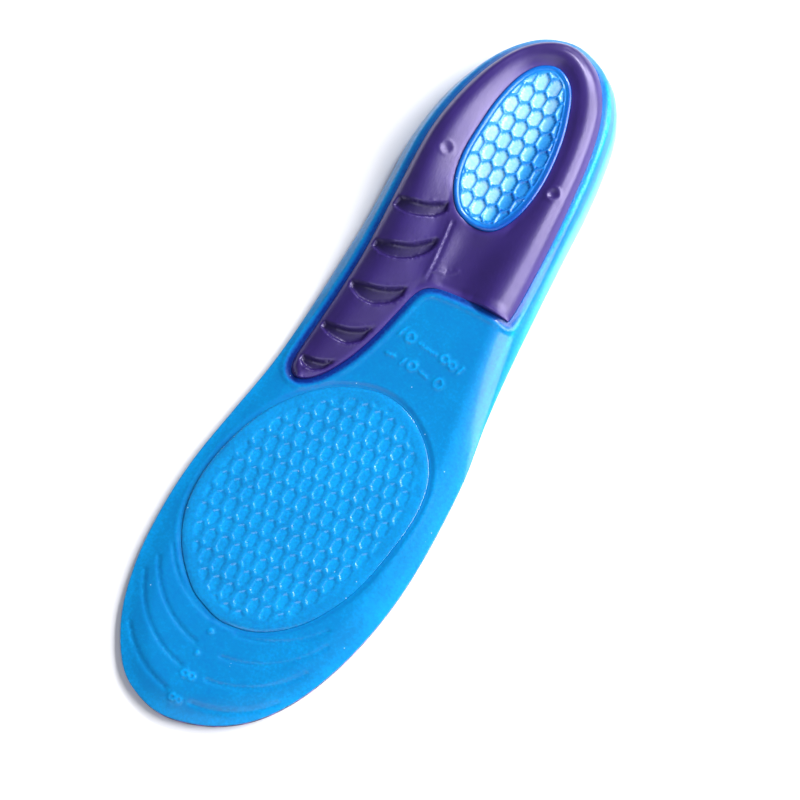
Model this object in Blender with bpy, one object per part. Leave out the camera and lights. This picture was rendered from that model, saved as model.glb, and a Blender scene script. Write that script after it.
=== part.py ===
"""Cushioned insole for a right shoe, lying cloth side down with its gel underside up.

World frame: +Y runs from the toe to the heel, +X to the little-toe side, +Z up, floor at Z = 0.
All dimensions below are millimetres; the objects are made in metres.
"""

import math

import bmesh
import bpy
import numpy as np
from mathutils import Matrix, Vector
from mathutils.geometry import delaunay_2d_cdt

MM = 0.001
COLLECTION = "cushioned_insole"
CUTTERS = "cushioned_insole_cutters"

# ---- driving dimensions -------------------------------------------------------------------
GAP = 0.3                  # clearance between neighbouring pieces
SOCKET_GAP = 0.45          # clearance under the cradle and the heel pad
COVER_THICK = 1.0          # knitted top cover
FILM_THICK = 0.3           # bonding film between cover and gel
FILM_GAP = 0.12            # clearance on each side of the film
CUP_DEPTH = 11.5           # height of the foot-side floor of the heel above the rim
CUP_START, CUP_FULL = 105.0, 215.0   # stations between which the cup builds up
WALL_RUN = 9.5             # width of the curved cup wall
EDGE_INSET_CUP = 2.9       # cover edge behind the gel edge at the cup
EDGE_INSET_FLAT = 0.4      # cover edge behind the gel edge at the forefoot
GEL_AT_EDGE = 2.9          # thickness of the stack at the cup rim
GEL_AT_TOE_EDGE = 2.4      # thickness of the stack at the toe edge
GEL_FOREFOOT = 4.0         # thickness of the stack at the ball of the foot
GEL_WAIST = 4.8            # thickness of the stack at the waist
GEL_HEEL = 6.6             # thickness of the stack under the heel
CRADLE_FLOOR_LIFT = 2.7    # underside of the cradle above the foot-side surface
CRADLE_INNER_LIFT = 4.7    # cradle at the window and in its valley, above that surface
HEEL_LIP_LIFT = 5.0        # lip of the heel pad above that surface
HEEL_DISH = 0.8            # how far the heel pad dips inside its lip
PAD_DEPTH = 1.4            # depth of the forefoot socket
CELL_RIB = 1.1             # rib between honeycomb cells
HEEL_CELL = (4.6, 6.0)     # honeycomb pitch across and along, heel
BALL_CELL = (4.7, 6.0)     # honeycomb pitch across and along, forefoot
HEEL_CELL_DEPTH = 0.7
BALL_CELL_DEPTH = 0.5
BALL_GROOVE = 1.2          # groove between the forefoot pad and the gel body
BALL_PAD_PROUD = 0.2       # forefoot pad above the gel around it
TRIM_STEP = 8.5            # one shoe size between two trim lines
TRIM_FIRST = 6.0           # toe tip to the first trim line
TRIM_LINES = 4
TRIM_MIDDLE, TRIM_HALF_WIDTH, TRIM_REACH = -1.2, 33.5, 34.0
TRIM_GAP = 8.0             # half of the break in the middle of each line, in degrees
TRIM_ENDS = {-1: (50.0, 66.0, 61.0, 56.0), 1: (44.0, 52.0, 56.0, 30.0)}
TRIM_RADIUS, TRIM_DEPTH = 0.5, 0.35

# Plan outline through rounded points (across, along), heel last, listed once round.
OUTLINE = (
    (-2.0, 0.0), (-13.6, 1.9), (-22.4, 7.8), (-31.0, 20.4), (-36.5, 37.0), (-39.0, 56.0),
    (-39.2, 74.0), (-37.4, 93.0), (-35.4, 112.0), (-34.8, 130.0), (-35.0, 150.0),
    (-35.6, 170.0), (-37.0, 186.0), (-38.5, 201.0), (-38.0, 215.0), (-35.4, 229.0),
    (-30.0, 243.5), (-21.0, 255.0), (-10.0, 260.2), (0.0, 258.6), (9.5, 251.8),
    (16.8, 240.0), (21.0, 226.0), (23.8, 210.0), (25.4, 194.0), (27.4, 174.0),
    (30.2, 152.0), (33.4, 131.0), (36.4, 112.0), (38.6, 90.0), (39.2, 72.0),
    (38.0, 55.5), (34.8, 39.0), (29.6, 24.6), (21.8, 12.6), (11.6, 4.4),
)
# Outer side of the cradle from the tongue tip round the heel to its square corner.
CRADLE_OUTER = (
    (-26.6, 113.2), (-29.4, 116.4), (-29.8, 124.0), (-29.4, 134.0), (-29.0, 146.0),
    (-29.0, 158.0), (-29.8, 170.0), (-30.8, 182.0), (-31.8, 196.0), (-32.0, 208.0),
    (-30.4, 222.0), (-27.2, 235.0), (-22.2, 246.0), (-15.0, 253.2), (-7.0, 255.9),
    (0.6, 253.8), (7.6, 247.2), (13.2, 236.6), (17.0, 223.0), (19.4, 208.0),
    (21.2, 192.0), (22.4, 176.0), (22.8, 163.6),
)
# Inner side of the cradle from that corner back to the tongue tip.
CRADLE_INNER = (
    (21.2, 162.2), (12.0, 161.8), (3.0, 161.0), (-3.6, 159.4), (-7.2, 155.6),
    (-9.2, 147.0), (-11.4, 137.0), (-14.6, 127.0), (-19.0, 118.4), (-23.2, 114.0),
)
# Egg-shaped opening of the cradle over the heel.
WINDOW = (
    (-6.6, 244.2), (-12.6, 242.4), (-16.6, 236.4), (-18.8, 226.0), (-19.2, 214.0),
    (-18.6, 202.0), (-15.8, 192.2), (-10.2, 185.0), (-2.6, 182.9), (4.2, 185.4),
    (8.2, 194.0), (9.3, 205.0), (8.1, 217.0), (5.0, 229.0), (0.0, 239.8),
)
# Egg-shaped opening of the gel body under the ball of the foot.
BALL_RING = (
    (-2.0, 33.2), (8.5, 35.8), (17.9, 43.0), (24.6, 53.0), (29.2, 65.5), (31.4, 80.0),
    (31.8, 93.0), (29.4, 104.5), (23.0, 114.0), (13.6, 120.6), (3.6, 123.0), (-6.6, 121.0),
    (-17.4, 114.4), (-26.6, 103.0), (-32.2, 89.5), (-34.8, 74.0), (-33.4, 60.5),
    (-27.6, 48.2), (-17.8, 38.4), (-9.8, 34.6),
)
# Crescent pockets of the tongue: centre, half width, half length, turn in degrees.
CRESCENTS = (
    ((-20.4, 179.4), 8.6, 2.8, 20.0), ((-18.8, 165.2), 8.8, 2.8, 24.0),
    ((-18.8, 148.6), 8.2, 2.6, 22.0), ((-20.8, 133.0), 6.8, 2.2, 18.0),
    ((-23.8, 119.6), 4.2, 1.7, 14.0),
)
CRESCENT_DEPTH = 1.5
DIMPLES = ((13.9, 205.7), (-24.0, 203.0))
DIMPLE_RADIUS, DIMPLE_DEPTH = 1.7, 0.8


# ---- plan curves ----------------------------------------------------------------------------
def smooth_loop(points, per_span):
    """Closed Catmull-Rom curve through the points, as an array of (across, along)."""
    p = np.asarray(points, float)
    before, after, beyond = np.roll(p, 1, 0), np.roll(p, -1, 0), np.roll(p, -2, 0)
    t = (np.arange(per_span) / per_span)[None, :, None]
    curve = 0.5 * (
        2 * p[:, None]
        + (after - before)[:, None] * t
        + (2 * before - 5 * p + 4 * after - beyond)[:, None] * t**2
        + (3 * p - before - 3 * after + beyond)[:, None] * t**3
    )
    return curve.reshape(-1, 2)


def resample(loop, count):
    """The closed loop walked in equal steps."""
    closed = np.vstack([loop, loop[:1]])
    walked = np.concatenate([[0], np.cumsum(np.hypot(*np.diff(closed, axis=0).T))])
    at = np.linspace(0, walked[-1], count, endpoint=False)
    return np.stack([np.interp(at, walked, closed[:, k]) for k in (0, 1)], 1)


def resample_line(line, count):
    """The open line walked in equal steps, both ends kept."""
    walked = np.concatenate([[0], np.cumsum(np.hypot(*np.diff(line, axis=0).T))])
    at = np.linspace(0, walked[-1], count)
    return np.stack([np.interp(at, walked, line[:, k]) for k in (0, 1)], 1)


def offset_loop(loop, distance):
    """The closed loop moved outwards along its own normals."""
    ahead = np.roll(loop, -1, 0) - np.roll(loop, 1, 0)
    normal = np.stack([ahead[:, 1], -ahead[:, 0]], 1)
    normal /= np.linalg.norm(normal, axis=1)[:, None]
    return loop + normal * distance * np.sign(area_of(loop))


def area_of(loop):
    x, y = loop.T
    return 0.5 * np.sum(x * np.roll(y, -1) - y * np.roll(x, -1))


def distance_to(points, line):
    """Distance from each point to an open polyline."""
    a, b = line[:-1], line[1:]
    along = b - a
    t = np.einsum("nkd,kd->nk", points[:, None] - a, along) / np.einsum("kd,kd->k", along, along)
    foot = a + np.clip(t, 0, 1)[..., None] * along
    return np.linalg.norm(points[:, None] - foot, axis=2).min(axis=1)


def inside(points, loop):
    """Which points lie inside the closed loop."""
    x, y = points[:, :1], points[:, 1:]
    x0, y0 = loop.T
    x1, y1 = np.roll(x0, -1), np.roll(y0, -1)
    rise = np.where(y1 == y0, 1e-12, y1 - y0)
    crossing = ((y0 > y) != (y1 > y)) & (x < (x1 - x0) * (y - y0) / rise + x0)
    return crossing.sum(axis=1) % 2 == 1


def smoothstep(value, low, high):
    t = np.clip((np.asarray(value, float) - low) / (high - low), 0, 1)
    return t * t * (3 - 2 * t)


# ---- rails and the cup section ------------------------------------------------------------
EDGE = smooth_loop(OUTLINE, 24)
SPINE_TOE, SPINE_HEEL = 40.0, 229.0


def side_of(station, lateral):
    """Across position of the outline at a station, on the little-toe or the arch side."""
    heel = int(EDGE[:, 1].argmax())
    toe = int(EDGE[:, 1].argmin())
    rolled = np.roll(EDGE, -toe, 0)
    split = (heel - toe) % len(EDGE)
    chosen = rolled[split:][::-1] if lateral else rolled[: split + 1]
    return np.interp(station, chosen[:, 1], chosen[:, 0])


def cup_height(station):
    """Height of the foot-side surface above the floor along the middle of the insole."""
    return CUP_DEPTH * smoothstep(station, CUP_START, CUP_FULL)


def stack_height(station):
    """Thickness of cover and gel together along the middle of the insole."""
    waist = GEL_FOREFOOT + (GEL_WAIST - GEL_FOREFOOT) * smoothstep(station, 112, 150)
    return waist + (GEL_HEEL - GEL_WAIST) * smoothstep(station, 165, 215)


def rays(stations, turns):
    """Centre points and edge points of the rays that span the plan: two fans and a ladder."""
    ladder = np.linspace(SPINE_TOE, SPINE_HEEL, stations)
    left, right = side_of(ladder, False), side_of(ladder, True)
    spine = np.stack([(left + right) / 2, ladder], 1)
    heel_hub, toe_hub = spine[-1], spine[0]
    centre = [spine, np.tile(heel_hub, (turns, 1)), spine[::-1], np.tile(toe_hub, (turns, 1))]
    edge = [
        np.stack([left, ladder], 1),
        fan_edge(heel_hub, math.pi, -1, turns),
        np.stack([right, ladder], 1)[::-1],
        fan_edge(toe_hub, 0.0, -1, turns),
    ]
    return np.vstack(centre), np.vstack(edge)


def fan_edge(hub, start, sense, turns):
    """Where rays from a hub, evenly turned through half a turn, meet the outline."""
    bearing = start + sense * math.pi * np.arange(1, turns + 1) / (turns + 1)
    spokes = EDGE - hub
    angle = np.arctan2(spokes[:, 1], spokes[:, 0])
    order = np.argsort(angle)
    angle, reach = angle[order], np.hypot(*spokes[order].T)
    wrapped = (bearing + math.pi) % (2 * math.pi) - math.pi
    length = np.interp(wrapped, angle, reach, period=2 * math.pi)
    return hub + np.stack([np.cos(bearing), np.sin(bearing)], 1) * length[:, None]


def shell_ring(centre, edge, turn, lift):
    """One ring of a surface that lies `lift` outside the foot-side surface.

    `turn` is the angle round the quarter ellipse of the cup wall: 0 at the rim, 90 degrees
    where the wall runs into the flat middle.
    """
    station = edge[:, 1]
    height = cup_height(station)
    share = height / CUP_DEPTH
    inset = EDGE_INSET_FLAT + (EDGE_INSET_CUP - EDGE_INSET_FLAT) * share
    lean = share * (math.pi / 2 - turn)
    depth = inset + WALL_RUN * (1 - math.cos(turn)) - lift * np.sin(lean)
    rise = height * math.sin(turn) + lift * np.cos(lean)
    inwards = centre - edge
    length = np.linalg.norm(inwards, axis=1)
    plan = edge + inwards / length[:, None] * depth[:, None]
    return np.column_stack([plan, rise])


def shell_height(plan, lift):
    """Height over the plan of the surface that lies `lift(turn, station)` outside the foot side."""
    station = plan[:, 1]
    height = cup_height(station)
    share = height / CUP_DEPTH
    inset = EDGE_INSET_FLAT + (EDGE_INSET_CUP - EDGE_INSET_FLAT) * share
    depth = distance_to(plan, np.vstack([EDGE, EDGE[:1]]))
    low, high = np.zeros(len(plan)), np.full(len(plan), math.pi / 2)
    for _ in range(18):
        turn = (low + high) / 2
        lean = share * (math.pi / 2 - turn)
        reached = inset + WALL_RUN * (1 - np.cos(turn)) - lift(turn, station) * np.sin(lean)
        low, high = np.where(reached < depth, turn, low), np.where(reached < depth, high, turn)
    lean = share * (math.pi / 2 - high)
    return height * np.sin(high) + lift(high, station) * np.cos(lean)


def gel_lift(turn, station):
    """Thickness of the whole stack at an angle round the cup wall."""
    share = cup_height(station) / CUP_DEPTH
    rim = GEL_AT_TOE_EDGE + (GEL_AT_EDGE - GEL_AT_TOE_EDGE) * share
    return rim + (stack_height(station) - rim) * np.sin(turn) ** 3


def shell_middle(centre, edge, fraction, lift):
    """A ring inside the wall, a fraction of the way from its foot to the spine."""
    foot = shell_ring(centre, edge, math.pi / 2, 0.0)[:, :2]
    plan = foot + (centre - foot) * fraction
    station = plan[:, 1]
    return np.column_stack([plan, cup_height(station) + lift(station)])


# ---- solids -----------------------------------------------------------------------------------
def collection_of(name, hidden):
    group = bpy.data.collections.new(name)
    bpy.context.scene.collection.children.link(group)
    group.hide_render = hidden
    return group


def material_of(name, colour, roughness):
    material = bpy.data.materials.new(name)
    material.use_nodes = True
    shader = material.node_tree.nodes["Principled BSDF"]
    shader.inputs["Base Color"].default_value = (*colour, 1.0)
    shader.inputs["Roughness"].default_value = roughness
    shader.inputs["Metallic"].default_value = 0.0
    material.diffuse_color = (*colour, 1.0)
    return material


def object_of(name, mesh_build, group, material=None):
    """A named object made from a finished bmesh."""
    bmesh.ops.remove_doubles(mesh_build, verts=mesh_build.verts, dist=2e-6)
    bmesh.ops.recalc_face_normals(mesh_build, faces=mesh_build.faces)
    mesh = bpy.data.meshes.new(name)
    mesh_build.to_mesh(mesh)
    mesh_build.free()
    mesh.shade_smooth()
    thing = bpy.data.objects.new(name, mesh)
    group.objects.link(thing)
    if material:
        mesh.materials.append(material)
    return thing


def grid_solid(rings):
    """A closed solid from rings of equal length; the first and last rings end on the spine."""
    build = bmesh.new()
    rows = [[build.verts.new(Vector(p) * MM) for p in ring.tolist()] for ring in rings]
    count = len(rows[0])
    for lower, upper in zip(rows, rows[1:]):
        for k in range(count):
            nxt = (k + 1) % count
            build.faces.new((lower[k], lower[nxt], upper[nxt], upper[k]))
    bmesh.ops.remove_doubles(build, verts=build.verts, dist=1e-5)
    bmesh.ops.dissolve_degenerate(build, edges=build.edges, dist=1e-6)
    return build


def shell_solid(name, group, material, inner_lift, outer_lift, middle_lift, turns, fractions):
    """A shell between two offsets of the foot-side surface, closed round its rim."""
    centre, edge = rays(LADDER, FAN)
    lower = [shell_middle(centre, edge, f, lambda y: inner_lift) for f in reversed(fractions)]
    lower += [shell_ring(centre, edge, a, inner_lift) for a in reversed(turns)]
    upper = [shell_ring(centre, edge, a, outer_lift(a, edge[:, 1])) for a in turns]
    upper += [shell_middle(centre, edge, f, middle_lift) for f in fractions]
    return object_of(name, grid_solid(lower + upper), group, material)


LADDER, FAN = 26, 11
WALL_TURNS = tuple(math.radians(a) for a in (0, 18, 36, 54, 72, 90))
MIDDLE = (0.35, 0.7, 1.0)


def plan_solid(name, group, material, loops, seeds, top, bottom):
    """A solid with upright sides whose top and bottom heights follow functions of the plan.

    The first loop is the outside and any other loop is a hole; the seeds are inner points.
    """
    points, edges = [], []
    for loop in loops:
        first = len(points)
        points += loop.tolist()
        edges += [(first + k, first + (k + 1) % len(loop)) for k in range(len(loop))]
    points += seeds.tolist()
    made = delaunay_2d_cdt([Vector(p) for p in points], edges, [], 0, 1e-4)
    plan = np.array([tuple(v) for v in made[0]])
    middles = np.array([plan[list(face)].mean(axis=0) for face in made[2]])
    kept = inside(middles, loops[0])
    for hole in loops[1:]:
        kept &= ~inside(middles, hole)
    build = bmesh.new()
    roof = [build.verts.new((x * MM, y * MM, z * MM)) for (x, y), z in zip(plan, top(plan))]
    floor = [build.verts.new((x * MM, y * MM, z * MM)) for (x, y), z in zip(plan, bottom(plan))]
    borders = {}
    for face, keep in zip(made[2], kept):
        if not keep:
            continue
        build.faces.new([roof[k] for k in face])
        build.faces.new([floor[k] for k in reversed(face)])
        for a, b in zip(face, face[1:] + face[:1]):
            borders[(a, b)] = borders.get((a, b), 0) + 1
    for a, b in borders:
        if (b, a) not in borders:
            build.faces.new((roof[b], roof[a], floor[a], floor[b]))
    bmesh.ops.delete(build, geom=[v for v in build.verts if not v.link_faces], context="VERTS")
    return object_of(name, build, group, material)


def seeds_in(loops, spacing, clearance):
    """A staggered lattice of points inside the first loop and clear of every loop."""
    low, high = loops[0].min(axis=0), loops[0].max(axis=0)
    rows = np.arange(low[1] + spacing / 2, high[1], spacing * 0.87)
    columns = np.arange(low[0] + spacing / 2, high[0], spacing)
    x, y = np.meshgrid(columns, rows)
    x = x + (np.arange(len(rows)) % 2)[:, None] * spacing / 2
    points = np.stack([x.ravel(), y.ravel()], 1)
    kept = inside(points, loops[0])
    for hole in loops[1:]:
        kept &= ~inside(points, hole)
    for loop in loops:
        kept &= distance_to(points, np.vstack([loop, loop[:1]])) > clearance
    return points[kept]


def boolean(target, operation, other):
    """Applies one exact Boolean of the other object to the target."""
    modifier = target.modifiers.new(operation.title(), "BOOLEAN")
    modifier.operation = operation
    modifier.solver = "EXACT"
    modifier.object = other
    graph = bpy.context.evaluated_depsgraph_get()
    mesh = bpy.data.meshes.new_from_object(target.evaluated_get(graph))
    old = target.data
    target.modifiers.clear()
    target.data = mesh
    bpy.data.meshes.remove(old)


def cutter_of(thing):
    thing.hide_render = True
    thing.display_type = "WIRE"
    return thing


# ---- surfaces of the pieces over the plan --------------------------------------------------
CRADLE_LOOP = resample(smooth_loop(CRADLE_OUTER + CRADLE_INNER, 8), 118)
WINDOW_LOOP = resample(smooth_loop(WINDOW, 12), 52)
BALL_LOOP = resample(smooth_loop(BALL_RING, 8), 60)
RIDGE_OUTER = np.array(CRADLE_OUTER)
RIDGE_INNER = np.array(
    ((9.4, 160.0), (8.6, 174.0), (8.0, 190.0))
    + tuple(reversed(WINDOW[11:]))
    + WINDOW[:6]
    + ((-15.2, 190.0), (-10.6, 178.0), (-8.4, 163.0), (-8.0, 154.0))
    + CRADLE_INNER[5:]
)
VALLEY = np.array(
    ((9.4, 158.0), (8.6, 174.0), (8.0, 190.0), (9.3, 205.0), (8.1, 217.0), (5.0, 229.0),
     (0.0, 239.8), (-6.6, 244.2), (-12.6, 242.4), (-16.6, 236.4), (-18.8, 226.0),
     (-19.2, 214.0), (-18.6, 202.0), (-15.2, 190.0), (-10.6, 178.0), (-8.4, 163.0),
     (-8.0, 154.0))
)


def cradle_top(plan):
    """A rounded ridge round the heel window and down the tongue, with a valley between."""
    outer = distance_to(plan, RIDGE_OUTER)
    inner = np.where(inside(plan, VALLEY), 0.0, distance_to(plan, RIDGE_INNER))
    share = outer / np.maximum(outer + inner, 1e-6)
    station = plan[:, 1]
    crest = 1.0 + 1.2 * smoothstep(station, 112, 165) - 0.3 * smoothstep(station, 180, 210)
    hump = np.clip(1 - (2 * share - 1) ** 2, 0, 1) ** 0.75
    flush = shell_height(plan, gel_lift)
    return flush * (1 - share) + (cup_height(station) + CRADLE_INNER_LIFT) * share + crest * hump


def cradle_floor(plan):
    """Underside of the cradle, a steady skin of gel above the top cover."""
    return shell_height(plan, lambda turn, station: CRADLE_FLOOR_LIFT)


def ridge_seeds():
    """Rows of points that run along the ridge, between its outer and its inner side."""
    outer = resample_line(RIDGE_OUTER, 46)
    inner = resample_line(RIDGE_INNER[::-1], 46)
    rows = [outer + (inner - outer) * share for share in (0.12, 0.27, 0.42, 0.58, 0.73, 0.88)]
    points = np.vstack(rows)
    ring = np.vstack([CRADLE_LOOP, CRADLE_LOOP[:1]])
    hole = np.vstack([WINDOW_LOOP, WINDOW_LOOP[:1]])
    kept = inside(points, CRADLE_LOOP) & ~inside(points, WINDOW_LOOP)
    return points[kept & (distance_to(points, ring) > 0.7) & (distance_to(points, hole) > 0.7)]


def heel_pad_top(plan):
    """A shallow dish inside a raised lip."""
    inset = distance_to(plan, np.vstack([WINDOW_LOOP, WINDOW_LOOP[:1]]))
    return cup_height(plan[:, 1]) + HEEL_LIP_LIFT - HEEL_DISH * smoothstep(inset, 1.2, 4.0)


def cell_centres(loop, pitch, clearance):
    """Centres of a staggered honeycomb inside a loop."""
    low, high = loop.min(axis=0), loop.max(axis=0)
    middle = (low + high) / 2
    rows = np.arange(-math.ceil((high[1] - low[1]) / pitch[1]) // 2 - 1, 40)
    columns = np.arange(-20, 21)
    i, j = np.meshgrid(columns, rows)
    x = middle[0] + (i + (j % 2) / 2) * pitch[0]
    y = middle[1] + j * pitch[1]
    points = np.stack([x.ravel(), y.ravel()], 1)
    ring = np.vstack([loop, loop[:1]])
    return points[inside(points, loop) & (distance_to(points, ring) > clearance)]


def cells(name, group, centres, pitch, top, depth):
    """Hexagonal cutters, pointed along the insole, that sink `depth` below a surface."""
    half = (pitch[0] - CELL_RIB) / 2
    tip = pitch[1] * 2 / 3 - CELL_RIB * 0.6
    corners = np.array(
        ((half, -tip / 2), (half, tip / 2), (0, tip), (-half, tip / 2), (-half, -tip / 2), (0, -tip))
    )
    build = bmesh.new()
    for centre in centres:
        ring = centre + corners
        sunk = float(top(centre[None])[0]) - depth
        lower = [build.verts.new((x * MM, y * MM, sunk * MM)) for x, y in centre + corners * 0.82]
        upper = [build.verts.new((x * MM, y * MM, (sunk + 3) * MM)) for x, y in centre + corners * 1.36]
        build.faces.new(lower[::-1])
        build.faces.new(upper)
        for k in range(6):
            nxt = (k + 1) % 6
            build.faces.new((lower[k], lower[nxt], upper[nxt], upper[k]))
    return cutter_of(object_of(name, build, group))


def bead(name, group, line, height, radius, closed):
    """A round bead swept along a line, its centre on the surface height given."""
    curve = bpy.data.curves.new(name, "CURVE")
    curve.dimensions = "3D"
    curve.bevel_depth = radius * MM
    curve.bevel_resolution = 1
    curve.use_fill_caps = True
    spline = curve.splines.new("POLY")
    spline.points.add(len(line) - 1)
    for point, (x, y), z in zip(spline.points, line, height(line)):
        point.co = (x * MM, y * MM, z * MM, 1.0)
    spline.use_cyclic_u = closed
    maker = bpy.data.objects.new(name, curve)
    group.objects.link(maker)
    bpy.context.view_layer.update()
    graph = bpy.context.evaluated_depsgraph_get()
    mesh = bpy.data.meshes.new_from_object(maker.evaluated_get(graph))
    build = bmesh.new()
    build.from_mesh(mesh)
    bpy.data.objects.remove(maker)
    return cutter_of(object_of(name, build, group))


def trim_line(order, side):
    """One half of a trim line, an arc of the toe outline one or more sizes back from the tip."""
    start, stop = math.radians(TRIM_GAP), math.radians(TRIM_ENDS[side][order])
    bearing = np.linspace(start, stop, 12)
    x = TRIM_MIDDLE + side * TRIM_HALF_WIDTH * np.sin(bearing)
    y = TRIM_FIRST + TRIM_STEP * order + TRIM_REACH * (1 - np.cos(bearing))
    return np.stack([x, y], 1)


def trim_height(line):
    """Height of a trim groove's centre line, so that it sinks TRIM_DEPTH into the gel."""
    return shell_height(line, gel_lift) + TRIM_RADIUS - TRIM_DEPTH


def ball_pad_top(plan):
    return cup_height(plan[:, 1]) + GEL_FOREFOOT + BALL_PAD_PROUD


def dimple(name, group, x, y):
    """A round cutter that leaves a flat-bottomed dimple in the cradle."""
    height = float(cradle_top(np.array([[x, y]]))[0])
    build = bmesh.new()
    bmesh.ops.create_cone(build, cap_ends=True, segments=16, radius1=DIMPLE_RADIUS * MM * 0.7,
                          radius2=DIMPLE_RADIUS * MM * 1.6, depth=2.4 * MM)
    middle = Vector((x, y, height - DIMPLE_DEPTH + 1.2)) * MM
    bmesh.ops.translate(build, vec=middle, verts=build.verts)
    return cutter_of(object_of(name, build, group))


def crescent(order):
    """An ellipsoid cutter laid across the tongue, longer on its little-toe side."""
    (x, y), half_width, half_length, turn = CRESCENTS[order]
    build = bmesh.new()
    bmesh.ops.create_uvsphere(build, u_segments=20, v_segments=10, radius=1.0)
    height = float(cradle_top(np.array([[x, y]]))[0])
    place = (
        Matrix.Translation(Vector((x, y, height + 0.3)) * MM)
        @ Matrix.Rotation(math.radians(turn), 4, "Z")
        @ Matrix.Diagonal((half_width * MM, half_length * MM, (CRESCENT_DEPTH + 0.3) * MM, 1.0))
    )
    bmesh.ops.transform(build, matrix=place, verts=build.verts)
    return build


def settle(group):
    """Moves the assembly so that the middle of its box's underside is the world origin."""
    points = np.vstack([np.array([v.co for v in thing.data.vertices]) for thing in group.objects])
    low, high = points.min(axis=0), points.max(axis=0)
    shift = Vector((-(low[0] + high[0]) / 2, -(low[1] + high[1]) / 2, -low[2]))
    for thing in group.objects:
        thing.data.transform(Matrix.Translation(shift))
    print("settled by", [round(value / MM, 3) for value in shift])


# ---- the assembly ----------------------------------------------------------------------------
def main():
    for thing in list(bpy.data.objects):
        bpy.data.objects.remove(thing)
    parts = collection_of(COLLECTION, False)
    tools = collection_of(CUTTERS, True)
    cloth = material_of("violet_knit", (0.13, 0.035, 0.19), 0.9)
    film = material_of("bond_film", (0.75, 0.74, 0.7), 0.5)
    gel = material_of("blue_gel", (0.015, 0.31, 0.68), 0.3)
    violet = material_of("violet_elastomer", (0.06, 0.035, 0.19), 0.35)
    pale = material_of("pale_blue_gel", (0.06, 0.42, 0.78), 0.25)
    ball = material_of("blue_gel_pad", (0.02, 0.33, 0.7), 0.3)

    film_low = COVER_THICK + FILM_GAP
    film_high = film_low + FILM_THICK
    gel_low = film_high + FILM_GAP
    shell_solid("top_cover", parts, cloth, 0.0, lambda a, y: COVER_THICK,
                lambda y: COVER_THICK, WALL_TURNS, MIDDLE)
    shell_solid("bond_film", parts, film, film_low, lambda a, y: film_high,
                lambda y: film_high, WALL_TURNS, MIDDLE)

    body = shell_solid("gel_body", parts, gel, gel_low, gel_lift, stack_height, WALL_TURNS, MIDDLE)

    socket = plan_solid("cradle_socket", tools, None, [offset_loop(CRADLE_LOOP, GAP)],
                        seeds_in([CRADLE_LOOP], 7.0, 3.0), lambda p: np.full(len(p), 40.0),
                        lambda p: cradle_floor(p) - SOCKET_GAP)
    boolean(body, "DIFFERENCE", cutter_of(socket))
    socket = plan_solid("ball_socket", tools, None, [BALL_LOOP], np.empty((0, 2)),
                        lambda p: np.full(len(p), 20.0),
                        lambda p: np.full(len(p), GEL_FOREFOOT - PAD_DEPTH))
    boolean(body, "DIFFERENCE", cutter_of(socket))
    for order in range(TRIM_LINES):
        for side in (-1, 1):
            groove = bead(f"trim_{order}_{side}", tools, trim_line(order, side), trim_height,
                          TRIM_RADIUS, False)
            boolean(body, "DIFFERENCE", groove)

    valley = seeds_in([VALLEY], 4.5, 1.5)
    valley = valley[~inside(valley, offset_loop(WINDOW_LOOP, 1.0)) & inside(valley, CRADLE_LOOP)]
    cradle = plan_solid("heel_arch_cradle", parts, violet, [CRADLE_LOOP, WINDOW_LOOP],
                        np.vstack([ridge_seeds(), valley]), cradle_top, cradle_floor)
    for order in range(len(CRESCENTS)):
        boolean(cradle, "DIFFERENCE", cutter_of(object_of(f"crescent_{order}", crescent(order), tools)))
    for order, (x, y) in enumerate(DIMPLES):
        boolean(cradle, "DIFFERENCE", dimple(f"dimple_{order}", tools, x, y))

    pad_loop = offset_loop(WINDOW_LOOP, -GAP)
    pad = plan_solid("heel_gel_pad", parts, pale, [pad_loop], seeds_in([pad_loop], 4.2, 1.4),
                     heel_pad_top, cradle_floor)
    holes = cells("heel_cells", tools, cell_centres(WINDOW_LOOP, HEEL_CELL, 4.6), HEEL_CELL,
                  heel_pad_top, HEEL_CELL_DEPTH)
    boolean(pad, "DIFFERENCE", holes)

    pad_loop = offset_loop(BALL_LOOP, -BALL_GROOVE)
    ball_pad = plan_solid("ball_gel_pad", parts, ball, [pad_loop], seeds_in([pad_loop], 12.0, 4.0),
                          ball_pad_top, lambda p: np.full(len(p), GEL_FOREFOOT - PAD_DEPTH + GAP))
    holes = cells("ball_cells", tools, cell_centres(pad_loop, BALL_CELL, 3.2), BALL_CELL,
                  ball_pad_top, BALL_CELL_DEPTH)
    boolean(ball_pad, "DIFFERENCE", holes)
    settle(parts)
    for helper in list(tools.objects):
        bpy.data.objects.remove(helper)


main()
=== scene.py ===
"""Looks of a cushioned insole for a right shoe, lying cloth side down with its gel side up.

Plan curves and heights are written in millimetres of the insole's own plan: across (little-toe
side positive) and station (toe tip 0, heel about 260). HOME moves that plan into the shared frame.
"""

from __future__ import annotations

import logging
import math
from collections.abc import Callable, Sequence
from dataclasses import dataclass, field
from enum import Enum

import bmesh
import bpy
import numpy as np
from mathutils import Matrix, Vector
from mathutils.geometry import delaunay_2d_cdt


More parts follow.
